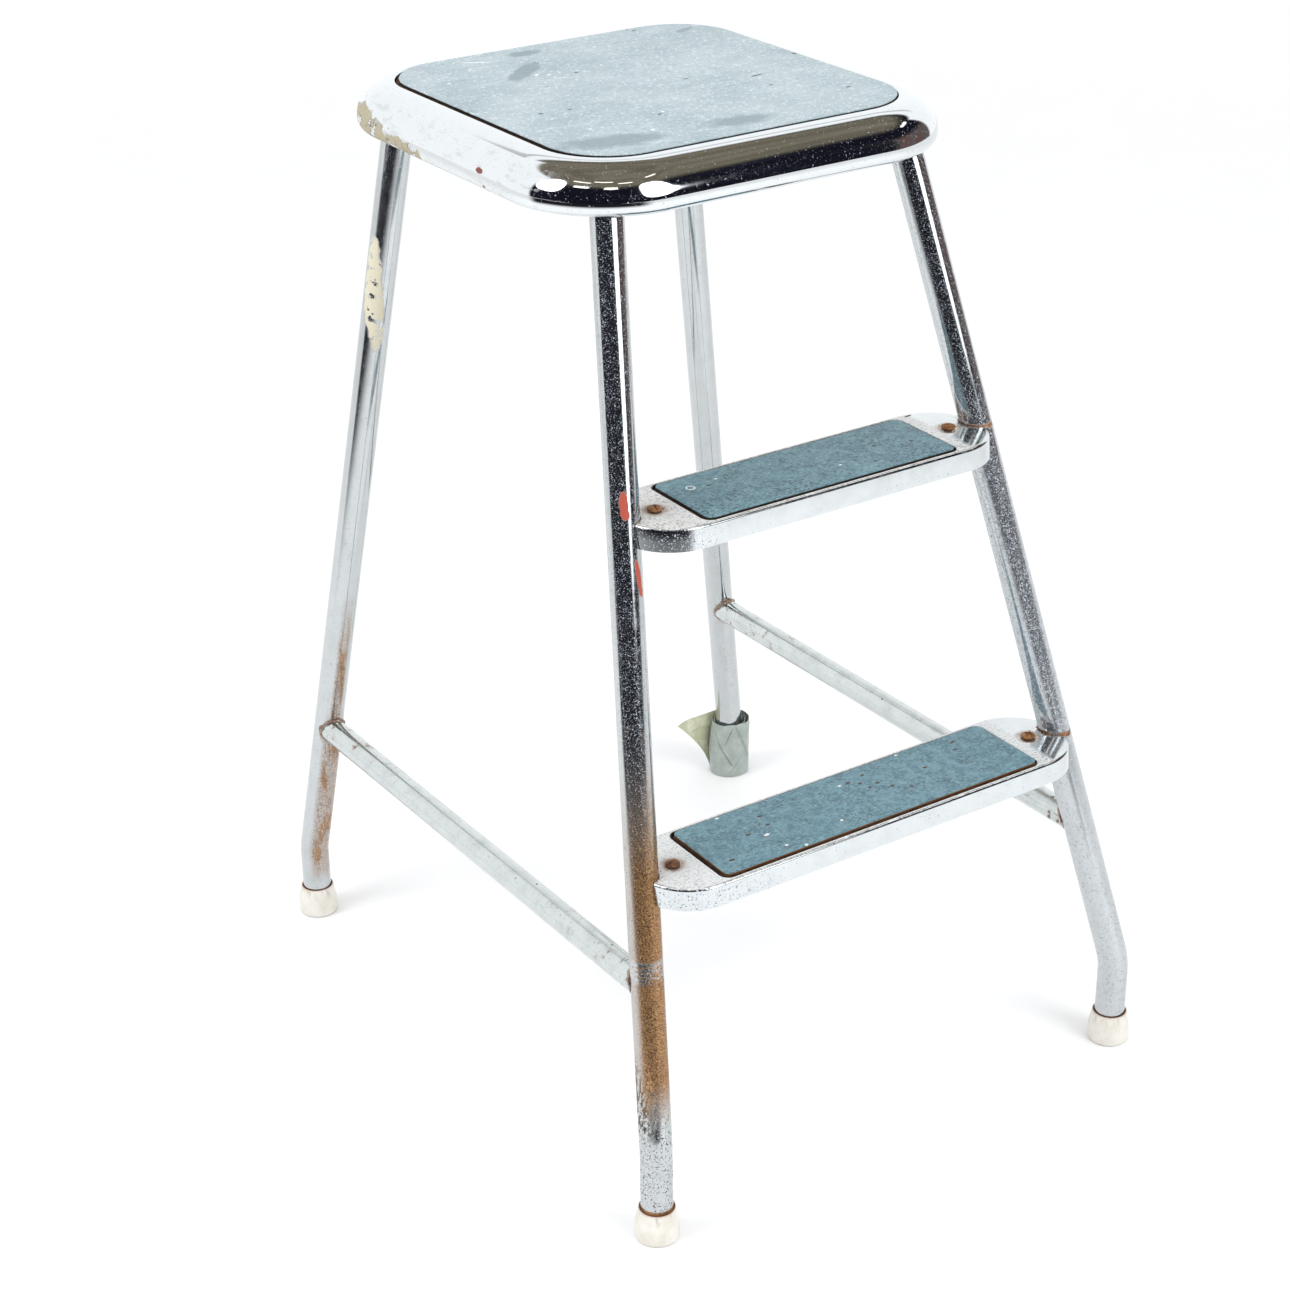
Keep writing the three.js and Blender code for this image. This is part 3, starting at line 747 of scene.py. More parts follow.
def cope(origins, along, leg):
    """Where lines from the origins meet the outside of a leg."""
    across = along - leg.slope * (along @ leg.slope)
    offset = origins - leg.kink
    offset = offset - np.outer(offset @ leg.slope, leg.slope)
    a = across @ across
    b = offset @ across
    c = (offset * offset).sum(axis=1) - (LEG_RADIUS + COPE_GAP) ** 2
    reach = (np.sqrt(np.maximum(b * b - a * c, 0.0)) - b) / a
    return origins + reach[:, None] * along


def build_stretcher(side_name, surface, weld):
    node = f"stretcher_{side_name}"
    front, rear = (LEGS[f"{row}_{side_name}"] for row in ROWS)
    start, end = front.stretcher_joint(), rear.stretcher_joint()
    along = (end - start) / np.linalg.norm(end - start)
    walls = []
    for radius in (STRETCHER_RADIUS, STRETCHER_RADIUS - STRETCHER_WALL):
        near, far = tube([start, end], radius, 56)
        near = cope(near, along, front)
        far = cope(far, -along, rear)
        walls.append([near + (far - near) * t for t in np.linspace(0, 1, 24)])
    outer, inner = walls
    piece(f"{node}_tube", loop(outer + inner[::-1]), surface, [node], sharp=50)
    for row, ring, seed in (("front", outer[0], 1), ("rear", outer[-1], 5)):
        bead(f"weld_{node}_{row}", ring, 2.1, weld, seed + SIDES[side_name], 0.5, True)


# ---- Treads --------------------------------------------------------------------------------------------

class Tread:
    """The places of one tread, from its nodes' boxes and the front legs."""

    def __init__(self, level):
        self.level = level
        self.node = f"tread_{level}"
        low, high = corners(self.node)
        self.bottom = low[2]
        self.lip = high[2]
        self.leg_x, y, _ = LEGS["front_right"].at(self.lip)
        self.centre = np.array([0.0, y, self.lip])
        self.panel_low, self.panel_high = corners(f"tread_linoleum_{level}")
        self.floor = corners(f"tread_board_{level}")[0][2] - CAD_GAP
        half = (self.leg_x + TREAD_PAST_LEG, TREAD_HALF_DEPTH)
        self.outline = Outline(half, TREAD_CORNER, self.centre, 40, 30)
        self.recess = Outline((self.panel_high - self.panel_low)[:2] / 2, PANEL_CORNER, self.centre, 10, 20)
        self.screws = [middle(f"tread_screw_{level}_{side_name}") for side_name in SIDES]

    def on_top(self, spot, margin=0.0):
        """Whether a spot is on the flat top, at least margin from its edges."""
        inside = self.outline.distance(spot) < -TREAD_TOP_EDGE - margin
        return inside and self.recess.distance(spot) > TREAD_RECESS_RIM + margin

    def sunk(self, spot):
        """The spot of the top with its height, which is lower near a screw."""
        reach = min(math.dist(spot, screw[:2]) for screw in self.screws)
        depth = DIMPLE_DEPTH * (1 - smooth_step(reach, DIMPLE_FLAT, DIMPLE_RADIUS))
        return (spot[0], spot[1], self.lip - depth)


def smooth_step(value, low, high):
    t = min(max((value - low) / (high - low), 0.0), 1.0)
    return t * t * (3 - 2 * t)


def tread_top(tread):
    """Points and faces of the flat top, with rings of points round each screw."""
    spots, edges = [], []
    for ring in (tread.outline.ring(-TREAD_TOP_EDGE, 0), tread.recess.ring(TREAD_RECESS_RIM, 0)):
        first = len(spots)
        edges += [(first + i, first + (i + 1) % len(ring)) for i in range(len(ring))]
        spots += [tuple(p[:2]) for p in ring]
    for x, y, _ in tread.screws:
        around = [(x, y)]
        for ring in range(1, 13):
            radius = ring * 0.85
            for a in full_turn(6 + 2 * ring):
                around.append((x + radius * math.cos(a), y + radius * math.sin(a)))
        spots += [spot for spot in around if tread.on_top(spot, 0.5)]
    places, _, triangles, *_ = delaunay_2d_cdt([Vector(spot) for spot in spots], edges, [], 0, 1e-6)
    faces = []
    for triangle in triangles:
        if tread.on_top(sum((places[i] for i in triangle), Vector((0, 0))) / 3):
            faces.append(tuple(triangle))
    return [tread.sunk(place) for place in places], faces


def build_tread(tread, surface):
    points, faces = tread_top(tread)

    def add_rings(rings):
        faces.extend(stitch(len(rings[0]), len(rings), first=len(points)))
        for ring in rings:
            points.extend(map(tuple, ring))

    lip = tread.lip
    skirt = arc((-TREAD_TOP_EDGE, lip - TREAD_ROUND), (TREAD_ROUND, TREAD_ROUND), 90, 4, 12)
    skirt += [(-0.5 * TREAD_FLARE, (lip - TREAD_ROUND + tread.bottom) / 2), (0.0, tread.bottom)]
    add_rings(tread.outline.rings(skirt))
    fillet = TREAD_RECESS_FILLET
    wall = arc((TREAD_RECESS_RIM, lip - fillet), (fillet, fillet), 90, 180, 5)
    wall.append((TREAD_RECESS_GAP, tread.floor))
    add_rings(tread.recess.rings(wall))
    floor_ring = tread.recess.ring(TREAD_RECESS_GAP, tread.floor)
    faces.append(tuple(range(len(points), len(points) + len(floor_ring))))
    points.extend(map(tuple, floor_ring))

    obj = piece(f"{tread.node}_pressing", (points, faces), surface, [tread.node], weld=True)
    turn_up(obj, lip)
    make_sheet(obj, TREAD_SHEET, 38, offset=-1, even=True)
    legs = [LEGS[f"front_{side_name}"] for side_name in SIDES]
    cutters = [rod(leg.at(lip - 45), leg.at(lip + 45), TREAD_NOTCH_RADIUS, 72) for leg in legs]
    cutters += [rod((x, y, lip - 4), (x, y, lip + 2), TREAD_HOLE_RADIUS, 24) for x, y, _ in tread.screws]
    carve(obj, cutters, 38)


def turn_up(obj, lip):
    """Makes the face directions of an open sheet agree, with the flat top facing up."""
    with edited(obj.data) as bm:
        bmesh.ops.recalc_face_normals(bm, faces=bm.faces)
        top = [f for f in bm.faces if abs(f.calc_center_median().z / MM - lip) < 0.01]
        if sum(f.normal.z for f in top) < 0:
            bmesh.ops.reverse_faces(bm, faces=bm.faces)


def build_tread_panel(tread, linoleum, board):
    low, high = tread.panel_low, tread.panel_high
    outline = Outline((high - low)[:2] / 2, PANEL_CORNER, (low + high) / 2, 10, 60)
    seed = LEVELS.index(tread.level) * 3 + 1
    bottom, top = low[2], high[2]
    shape = linoleum_shape(
        outline, 0.12 * (1 + outline.wavy(4, seed)) + 0.1 * outline.wavy(1.5, seed),
        ((-0.2, bottom), (0.0, bottom + 0.5), (0.0, top - 0.6), (-0.2, top - 0.2), (-0.6, top)),
        (0.97, 0.9, 0.8, 0.65, 0.45, 0.2),
        lambda p: 0.05 * wobble(p, 25, seed) - 0.05,
    )
    node = f"tread_linoleum_{tread.level}"
    piece(f"{node}_strip", shape, linoleum, [node], sharp=60)

    node = f"tread_board_{tread.level}"
    low, high = corners(node)
    edge = 0.6 + 0.3 * outline.wavy(3, seed + 1, 5)
    rings = [outline.ring(edge, z) for z in (low[2], (low[2] + high[2]) / 2, high[2])]
    piece(f"{node}_strip", stack(rings), board, [node])


def build_screw(node, surface, slot, head_up, cross, turn):
    """A domed screw in place of its CAD node, with a slotted or crossed head."""
    low, high = corners(node)
    radius = (high[0] - low[0]) / 2
    head = 0.52 * radius
    shank = 0.48 * radius
    end = high[2] - low[2] - head
    dome = np.radians(np.arange(0, 91, 9))
    profile = [(radius * math.sin(a), head * (0.25 + 0.75 * math.cos(a))) for a in dome]
    profile += [(0.97 * radius, 0.0), (shank + 0.2, 0.0), (shank, -0.3)]
    profile += [(shank - 0.22 * (i % 2), -depth) for i, depth in enumerate(np.arange(1.2, end - 1.2, 0.5))]
    profile += [(0.7 * shank, 0.3 - end), (0, -end)]
    sign = 1 if head_up else -1
    seat = middle(node)
    seat[2] = high[2] - head if head_up else low[2] + head
    shape = lathe([(r, sign * h) for r, h in profile], seat, 40)
    obj = piece(f"{node}_turned", shape, surface, [node], sharp=42)
    cutters = []
    for extra in (0.0, 90.0) if cross else (0.0,):
        a = math.radians(turn + extra)
        along = radius * (0.6 if cross else 1.2) * np.array([math.cos(a), math.sin(a), 0])
        across = 0.17 * radius * np.array([-math.sin(a), math.cos(a), 0])
        corner = [along * sx + across * sy for sx, sy in ((-1, -1), (1, -1), (1, 1), (-1, 1))]
        cutters.append(stack([seat + corner + np.array([0, 0, sign * h]) for h in (0.5 * head, head + 1)]))
    carve(obj, cutters, 42)


# ---- Tape ----------------------------------------------------------------------------------------------

TAPE_WIDTH = 50.0
TAPE_TURNS = 2.35
TAPE_RADIUS = 15.35
TAPE_MOUTH_RADIUS = 12.2  # above the cap the tape is pressed flat against the tube
TAPE_MOUTH_EAR = 4.2
TAPE_BULGE = 1.7  # how much further out it is on the right
TAPE_EAR_TURN = -33.5  # degrees from +X
TAPE_LAYER = 0.38
TAPE_THICKNESS = 0.28
TAPE_LEAST_RADIUS = 11.6
FLAP_TOP_LENGTH = 49.0
FLAP_BOTTOM_LENGTH = 12.0
FLAP_CURL = 7.0
FLAP_LIFT = 3.4  # how far the loose end has slipped up at its upper edge
ACROSS_STEPS, WOUND_STEPS, FLAP_STEPS = 56, 330, 34
# Each crease: turn in degrees, share of the width, slope and reach in radians, depth in millimetres.
TAPE_CREASES = (
    (-142, 0.51, -0.57, 0.63, 1.5),
    (-122, 0.78, 0.68, 0.26, 1.3),
    (-75, 0.62, -0.9, 0.45, 1.4),
    (-95, 0.28, 0.5, 0.5, 0.8),
    (20, 0.6, 0.7, 0.5, 1.2),
    (130, 0.5, -0.6, 0.5, 1.2),
)


def crease_depth(angle, share):
    """How far the tape's creases push it in, or out just beside them."""
    total = 0.0
    for turn, middle_share, slope, reach, depth in TAPE_CREASES:
        away = (angle - math.radians(turn) + math.pi) % (2 * math.pi) - math.pi
        across = (share - middle_share - slope * away) * TAPE_WIDTH
        dent = math.exp(-((across / 0.9) ** 2))
        fold = math.exp(-(((across - 2.4) / 1.7) ** 2))
        total += smooth_step(abs(away), reach, 0.7 * reach) * depth * (dent - 0.7 * fold)
    return total


def tape_radius(angle, share, layer, spot):
    """How far the wound tape is from the leg's axis."""
    facing = math.cos(angle - math.radians(TAPE_EAR_TURN))
    ear = facing**2 * (1.0 if facing > 0 else 0.55)
    loose = smooth_step(layer, 0.0, TAPE_TURNS)
    mouth = TAPE_MOUTH_RADIUS + TAPE_MOUTH_EAR * ear * loose
    radius = TAPE_RADIUS + (mouth - TAPE_RADIUS) * smooth_step(share, 0.5, 0.95)
    radius += TAPE_BULGE * max(facing, 0.0) ** 2 * loose
    slack = 0.2 + 1.5 * max(0.0, share - 0.4)
    crumple = 1.1 * wobble(spot, 9, 3) + 0.5 * wobble(spot, 3.5, 4)
    radius += slack * crumple - crease_depth(angle, share) * smooth_step(layer, 0.5, 0.9)
    return max(radius, TAPE_LEAST_RADIUS) + TAPE_LAYER * layer


def build_tape(surface):
    """A cloth tape wound round one foot, whose loose end leaves from behind it towards -X."""
    hub = LEGS["rear_right"].base[:2]
    low, high = corners("foot_tape")
    top = high[2] - 0.3
    points = []
    for i in range(WOUND_STEPS + FLAP_STEPS + 1):
        wound = min(i / WOUND_STEPS, 1.0)
        angle = math.pi / 2 - TAPE_TURNS * 2 * math.pi * (1 - wound)
        layer = TAPE_TURNS * wound
        out = np.array([math.cos(angle), math.sin(angle)])
        tilt = 1.6 * math.sin(angle + 0.6) * (1 - wound) ** 0.5 - 1.0
        for v in np.arange(ACROSS_STEPS + 1) / ACROSS_STEPS:
            lift = FLAP_LIFT * v * smooth_step(wound, 0.8, 1.0)
            z = min(low[2] + TAPE_WIDTH * v + tilt * v * (1 - 0.6 * wound), top) + lift
            spot = (hub[0] + 15 * out[0] + 0.6 * z, hub[1] + 15 * out[1] - 0.4 * z, 0.8 * z + 4 * layer)
            radius = tape_radius(angle, v, layer, spot)
            if i <= WOUND_STEPS:
                points.append((*(hub + radius * out), z + 0.15))
                continue
            s = (i - WOUND_STEPS) / FLAP_STEPS
            length = FLAP_BOTTOM_LENGTH + (FLAP_TOP_LENGTH - FLAP_BOTTOM_LENGTH) * v**1.5
            ripple = s * (1.5 * wobble((length * s, z, 0), 12, 8) + 1.4 * math.sin(7 * s + 3 * v))
            points.append((hub[0] - length * s, hub[1] + radius - FLAP_CURL * s * s + ripple, z + s * v))
    count = ACROSS_STEPS + 1
    faces = [
        (a, a + 1, a + count + 1, a + count)
        for i in range(WOUND_STEPS + FLAP_STEPS) for a in range(i * count, i * count + ACROSS_STEPS)
    ]
    obj = piece("foot_tape_wrap", (points, faces), surface, ["foot_tape"], sharp=75)
    make_sheet(obj, TAPE_THICKNESS, 75)


# ---- The materials of this stool -----------------------------------------------------------------------

def shell_chrome():
    left, back = SHELL_LOW[0], SEAT_CENTRE[1]
    band = SHELL_HIGH[2] - 21

    def flaked(low, high):
        def place(s):
            corner = s.mark((left + 10, back + 104, band - 1), (26, 38, 10), 0, 0.55, 11, 0.1)
            side = s.mark((left + 4, back + 52, band - 6), (9, 34, 6), 0, 0.8, 9, 0.1)
            return s.both(s.either(corner, side), s.grain(12, low, high, 4, 0.62, seed=21))
        return place

    def painted_shade_streaks(s):
        """Grey streaks of painted shade, only on the left side."""
        y = SHELL_LOW[1]
        face = s.both(s.rise(s.axis(0), left + 34, left + 18), s.rise(s.axis(1), y + 34, y + 62))
        grain = s.grain(6, 0.54, 0.66, 4, 0.65, stretch=(1, 2.2, 0.8), seed=27)
        return s.both(grain, face, s.rise(s.axis(2), band + 20, band + 14), 0.45)

    def red_chips(s):
        one = s.mark((left + 1, back - 55, band + 3), (3, 4, 2.0), 0, 0.5, 2, 0.15)
        two = s.mark((left + 3, back - 60, band - 6), (3, 2.2, 1.6), 0, 0.5, 2, 0.15)
        return s.either(one, two)

    return chrome(
        "seat_shell_chrome",
        SHELL_CHROME,
        polish=0.045,
        pitting=0.3,
        haze=0.08,
        rust=rust_specks(0.04, 16, 0.8),
        layers=[
            (flaked(0.425, 0.445), tint(96, 88, 72), 0.7),
            (flaked(0.45, 0.475), tint(166, 158, 134), 0.75),
            # painted shade: grey streaks on the left side of the rim
            (painted_shade_streaks, tint(160, 164, 166), 0.5),
            (red_chips, tint(120, 62, 50), 0.6),
        ],
    )


def streaked(s, seed, low, high):
    """Long patches that run down a tube."""
    return s.grain(12, low, high, 4, 0.65, stretch=(0.6, 0.6, 3.0), seed=seed)


def leg_marks_front_left(leg):
    def stain(s):
        z = s.axis(2)
        zone = s.both(s.band(z, 84, 122, 240, 345), s.spread(s.rise(s.across(leg), -9, -3), 0.3, 1.0))
        upper = s.both(s.band(z, 120, 200, 260, 440), streaked(s, 5, 0.5, 0.7), 0.5)
        scratched = s.grain(3, 0.42, 0.55, stretch=(3, 3, 0.4), seed=6)
        clean = s.both(s.band(z, 180, 183, 193, 196), scratched, 0.85)
        return s.both(s.either(zone, upper), s.inverse(clean))

    def rust(s):
        z = s.axis(2)
        side = s.rise(s.across(leg), -6, 6)
        film = s.both(s.band(z, 84, 120, 210, 285), side, s.grain(1.1, 0.48, 0.56, 3, 0.65, seed=19), 0.45)
        return s.either(s.rise(z, 27.4, 25.8), film)

    # Real dark pits low on the leg, and a painted reflection: a dark streak left of the tube's middle.
    def dark_pits_and_painted_reflection(s):
        z = s.axis(2)
        low = s.both(s.rise(z, 112, 86), s.grain(1.5, 0.585, 0.61, 3, 0.65, seed=29))
        # painted reflection: a dark streak running down the tube, left of its middle
        painted_dark_streak = s.grain(2.2, 0.48, 0.53, 3, 0.65, stretch=(1, 1, 2.6), seed=27)
        return s.either(low, s.both(s.band(z, 78, 88, 112, 140), s.rise(s.across(leg), 3, -3), painted_dark_streak))

    def smear(s):
        high = s.mark(leg.skin(474, -26), (2.7, 3.6, 19), 0, 0.55, 5, 0.06)
        low = s.mark(leg.skin(430, 14), (2.2, 4, 16), 0, 0.6, 5, 0.06)
        return s.either(high, low)

    def worn(s):
        return s.both(s.rise(s.axis(2), 420, 300), 0.5)

    return rust, stain, worn, [(smear, tint(168, 76, 58), 0.5), (dark_pits_and_painted_reflection, tint(66, 60, 54), 0.6)]


def leg_marks_rear_left(leg):
    def right_of(s, z):
        """On the right, and wider below the stretcher."""
        across = s.across(leg)
        low = s.both(s.rise(across, -4, 1), s.rise(z, 190, 160))
        return s.either(low, s.both(s.band(across, 0, 3, 7.5, 9.5), s.rise(z, 290, 220)))

    def stain(s):
        z = s.axis(2)
        patch = s.either(streaked(s, 7, 0.38, 0.6), 0.4)
        return s.both(right_of(s, z), s.rise(z, 30, 44), patch, 0.9)

    def rust(s):
        z = s.axis(2)
        return s.both(right_of(s, z), s.rise(z, 34, 60), s.grain(1.1, 0.48, 0.56, 3, 0.65, seed=7), 0.55)

    def worn(s):
        return s.both(s.rise(s.axis(2), 330, 180), 0.45)

    def residue(s):
        patch = s.mark(leg.skin(520, -50), (7, 8, 42), 0, 0.5, 12, 0.12)
        return s.both(patch, s.grain(6, 0.40, 0.46, 4, seed=23))

    return rust, stain, worn, [(residue, tint(208, 202, 180), 0.65)]


def leg_marks_right(leg):
    front = leg.row == "front"

    def stain(s):
        return s.both(s.rise(s.axis(2), 280, 140), s.grain(9, 0.58, 0.8, 4, 0.65, seed=7), 0.4)

    def rust(s):
        patch = s.both(s.rise(s.axis(2), 230, 120), s.grain(2.6, 0.66, 0.73, 4, 0.65, seed=17))
        return s.either(patch, s.specks(14, 0.8, 0.05, 14))

    def worn(s):
        return s.both(s.band(s.axis(2), 150, 260, 430, 640), 0.95 if front else 0.4)

    def bloom(s):
        """The middle of the front leg is a little dulled all over."""
        return s.both(s.band(s.axis(2), 130, 200, 400, 520), 0.1)

    return rust, stain, worn, [(bloom, tint(184, 192, 200), 0.35)] if front else []


LEG_MARKS = {"front_left": leg_marks_front_left, "rear_left": leg_marks_rear_left}


def leg_chrome(leg):
    rust, stain, worn, layers = LEG_MARKS.get(leg.name, leg_marks_right)(leg)
    front = leg.row == "front"
    rusts = [rust]
    for level in LEVELS if front else ():
        lip = corners(f"tread_{level}")[1][2]
        rusts.append(near_weld(leg.at(lip - 4) - np.array([leg.side * LEG_RADIUS, 0, 0]), 5.5))
        rusts.append(weld_line(leg, lip))
    rusts.append(near_weld(leg.stretcher_joint() + np.array([0, 12 if front else -12, 0]), 10.0))
    return chrome(
        f"{leg.node}_chrome",
        LEG_CHROME,
        polish=0.08,
        pitting=0.9 if front else 0.6,
        haze=0.3,
        rust=lambda s: s.either(*[place(s) for place in rusts]),
        stain=stain,
        worn=worn,
        layers=layers,
        film=0.012,
        speck_size=0.75,
    )


TREAD_CHIPS = {"lower": ((92, -166, 15),), "upper": ((124.5, -94, 15), (111, -96.6, 8))}


def tread_chrome(tread):
    lip = tread.lip
    panel_end = tread.panel_high[0]

    def rust(s):
        y = tread.centre[1]
        ends = [s.mark((side * tread.leg_x, y, lip), (14, 13.5, 5), 0, 0.4, 4, 0.15) for side in (-1, 1)]
        heads = [s.mark((x, y, lip), (8.0, 8.0, 5), 0, 0.35, 3, 0.25) for x, y, _ in tread.screws]
        return s.either(
            s.both(s.either(*ends), s.grain(2.0, 0.52, 0.6, seed=3)),
            s.both(s.either(*heads), s.grain(1.3, 0.50, 0.62, 4, 0.65, seed=15)),
            s.specks(15, 1.0, 0.05, 5),
        )

    def stain(s):
        heads = [s.mark((x, y, lip), (8.5, 8.5, 5), 0, 0.4, 4, 0.3) for x, y, _ in tread.screws]
        return s.both(s.either(*heads), 0.5)

    def clear_end(s):
        """The right end is still bright, so that it mirrors the leg."""
        return s.rise(s.axis(0), panel_end + 8, panel_end + 14)

    def worn(s):
        """The flat tops of the ends are pitted all over, and so is the left end of the skirt."""
        past_panel = s.rise(s.math("ABSOLUTE", s.axis(0)), panel_end - 6, panel_end + 4)
        top = s.both(past_panel, s.spread(clear_end(s), 1.0, 0.15), s.rise(s.axis(2), lip - 2.2, lip - 1.2))
        skirt = s.both(s.rise(s.axis(0), -60, -110), s.rise(s.axis(2), lip - 2.0, lip - 4.0), 0.7)
        return s.either(top, skirt)

    def frosted(s):
        """The top and the upper part of the rounded edge have lost their shine."""
        top = s.rise(s.axis(2), lip - 0.72, lip - 0.45)
        grain = s.spread(s.grain(2.0, 0.42, 0.56, roughness=0.7, seed=31), 0.45, 0.95)
        return s.both(top, grain, s.inverse(clear_end(s)))

    # Painted reflection: a thin grey-brown line along the top of the rounded edge, where it mirrors the
    # ceiling.
    def painted_ceiling_reflection(s):
        from_middle = s.math("ABSOLUTE", s.math("SUBTRACT", s.axis(1), tread.centre[1]))
        end = s.rise(s.math("ABSOLUTE", s.axis(0)), tread.leg_x - 12, tread.leg_x - 8)
        band = s.band(s.axis(2), lip - 0.34, lip - 0.24, lip - 0.16, lip - 0.08)
        return s.both(band, s.either(s.rise(from_middle, 33.5, 34.5), end), s.grain(12, 0.3, 0.5, seed=33))

    def chips(s):
        return s.either(*[
            s.mark((x, y, lip), (3.4, 0.9, 3), turn, 0.3, 2, 0.2) for x, y, turn in TREAD_CHIPS[tread.level]
        ])

    return chrome(
        f"{tread.node}_chrome",
        CHROME,
        polish=0.08,
        pitting=0.35,
        haze=0.25,
        rust=rust,
        stain=stain,
        worn=worn,
        layers=[
            (frosted, tint(208, 211, 211), 0.45),
            # painted reflection of the ceiling along the top of the rounded edge
            (painted_ceiling_reflection, tint(112, 104, 98), 0.6),
            (chips, tint(40, 36, 34), 0.7),
        ],
    )


def stretcher_chrome():
    def rust(s):
        end = s.rise(s.math("ABSOLUTE", s.axis(1)), 90, 200)
        return s.either(s.specks(7, 1.0, 0.16, 11), s.both(s.grain(9, 0.58, 0.7, 4, 0.65, seed=17), end))

    return chrome("stretcher_chrome", DULL_CHROME, polish=0.17, pitting=0.6, haze=0.35, rust=rust)


# Marks in linoleum: x, y, radius, other radius, turn in degrees.
SEAT_NICKS = (
    (75, 33, 5, 1.3, 10), (68, 7, 1.6, 1.2, 0), (-95, 36, 2, 1.4, 0), (-74, 34, 1.6, 1.1, 0),
    (-20, 112, 1.8, 1.3, 0), (31, 54, 1.7, 1.2, 0), (131, 66, 2.2, 1.5, 0), (106, -28, 2, 1.2, 0),
    (-33, -10, 2.4, 1.1, 20), (77, 188, 1.8, 1.4, 0),
)
SEAT_CHIPS = (
    (-45, 123, 2.2, 1.2, 30), (-38, 118, 1.8, 1.0, 0), (-63, 177, 10, 0.8, -35), (-28, -6, 1.4, 1, 0),
    (-88, -13, 1.5, 1.0, 0), (-57, -38, 1.4, 1, 0), (-105, 138, 1.5, 1, 0),
)
TREAD_NICKS = {
    "lower": (
        (5, -175, 2.4, 1.0, 20), (12, -180, 1.8, 1, 0), (14, -188, 1.6, 1, 0), (20, -172, 2, 1, 30),
        (22, -186, 1.6, 1.1, 0), (28, -195, 2, 1, 0), (38, -203, 2, 1, 0), (-70, -177, 2, 1, 0),
        (-72, -189, 1.8, 1, 0), (-90, -192, 2, 1.1, 0), (-117, -212, 2.4, 1.2, 0), (95, -180, 2, 1, 0),
        (100, -171, 2.2, 1, 15), (62, -188, 2, 1, 0),
    ),
    "upper": (
        (58, -127, 1.8, 1, 0), (43, -148, 1.8, 1, 0), (-70, -118, 1.8, 1.1, 0), (84, -134, 1.6, 1, 0),
    ),
}
TREAD_SPECKS = {
    "lower": (
        (-80, -199, 2.4, 1.2, 10), (-77, -217, 1.3, 1, 0), (-28, -212, 1.2, 1, 0), (-2, -175, 1.2, 1, 0),
        (56, -163, 1.3, 1, 0), (-95, -163, 1.3, 1, 0), (-66, -224, 1.3, 1, 0),
    ),
    "upper": ((-60, -112, 1.2, 0.9, 0), (20, -140, 1.2, 0.9, 0)),
}


def seat_linoleum():
    s = Surface("seat_linoleum_surface")
    streak = s.grain(9, 0.45, 0.75, 4, 0.7, stretch=(5, 1, 1), seed=2)
    grain = s.noise(1.3, 3, 0.6, seed=3)
    zones = s.spread(s.grain(45, 0.35, 0.65, seed=15), 0.2, 1.0)
    flecks = s.grain(2.8, 0.57, 0.62, roughness=0.65, stretch=(1.8, 1, 1), seed=12)
    pale = s.grain(2.4, 0.58, 0.62, roughness=0.65, seed=13)
    dark = s.either(
        s.marks(SEAT_TOP, [(-49, 134, 27, 7, 40)], 0.5, 8, 0.25),
        s.marks(SEAT_TOP, [(-22, 178, 12, 7, 0)], 0.5, 8, 0.3),
        s.marks(SEAT_TOP, [(-92, -45, 34, 13, -12), (0, -52, 24, 10, -5)], 0.5, 10, 0.35),
        s.marks(SEAT_TOP, [(108, 169, 10, 3, 25)], 0.4, 4, 0.3),
    )
    nicks = s.either(s.marks(SEAT_TOP, SEAT_NICKS), s.specks(26, 0.9, 0.22, 31))
    edge = s.math("ABSOLUTE", s.math("SUBTRACT", s.axis(2), SEAT_TOP))
    colour = s.coats(
        s.mix(s.grain(60, 0.3, 0.7, 4, seed=1), tint(143, 160, 167), tint(168, 182, 187)),
        (streak, 0.5, 188, 201, 206),
        (s.rise(grain, 0.48, 0.7), 0.5, 124, 147, 158),
        (s.both(flecks, zones), 0.6, 118, 146, 157),
        (pale, 0.5, 222, 231, 235),
        (s.grain(2.0, 0.66, 0.69, stretch=(9, 0.5, 1), seed=18), 0.6, 110, 134, 142),
        (s.specks(9, 0.75, 0.25, 41), 0.7, 92, 108, 114),
        (dark, 0.7, 100, 122, 130),
        (nicks, 1, 66, 70, 72),
        (s.either(s.marks(SEAT_TOP, SEAT_CHIPS), s.specks(30, 0.7, 0.2, 37)), 1, 232, 234, 234),
        (s.rise(edge, 0.5, 1.1), 1, 38, 34, 30),
    )
    rough = s.blend(s.both(streak, 0.5), 0.42, 0.52)
    height = s.total(s.both(grain, 0.4), s.both(s.inverse(nicks), 0.8), s.noise(30, 3, 0.5, seed=8))
    bump = s.bump(height, 0.12, 0.5)
    return s.finish(Base_Color=colour, Roughness=rough, Normal=bump, Specular_IOR_Level=0.5)


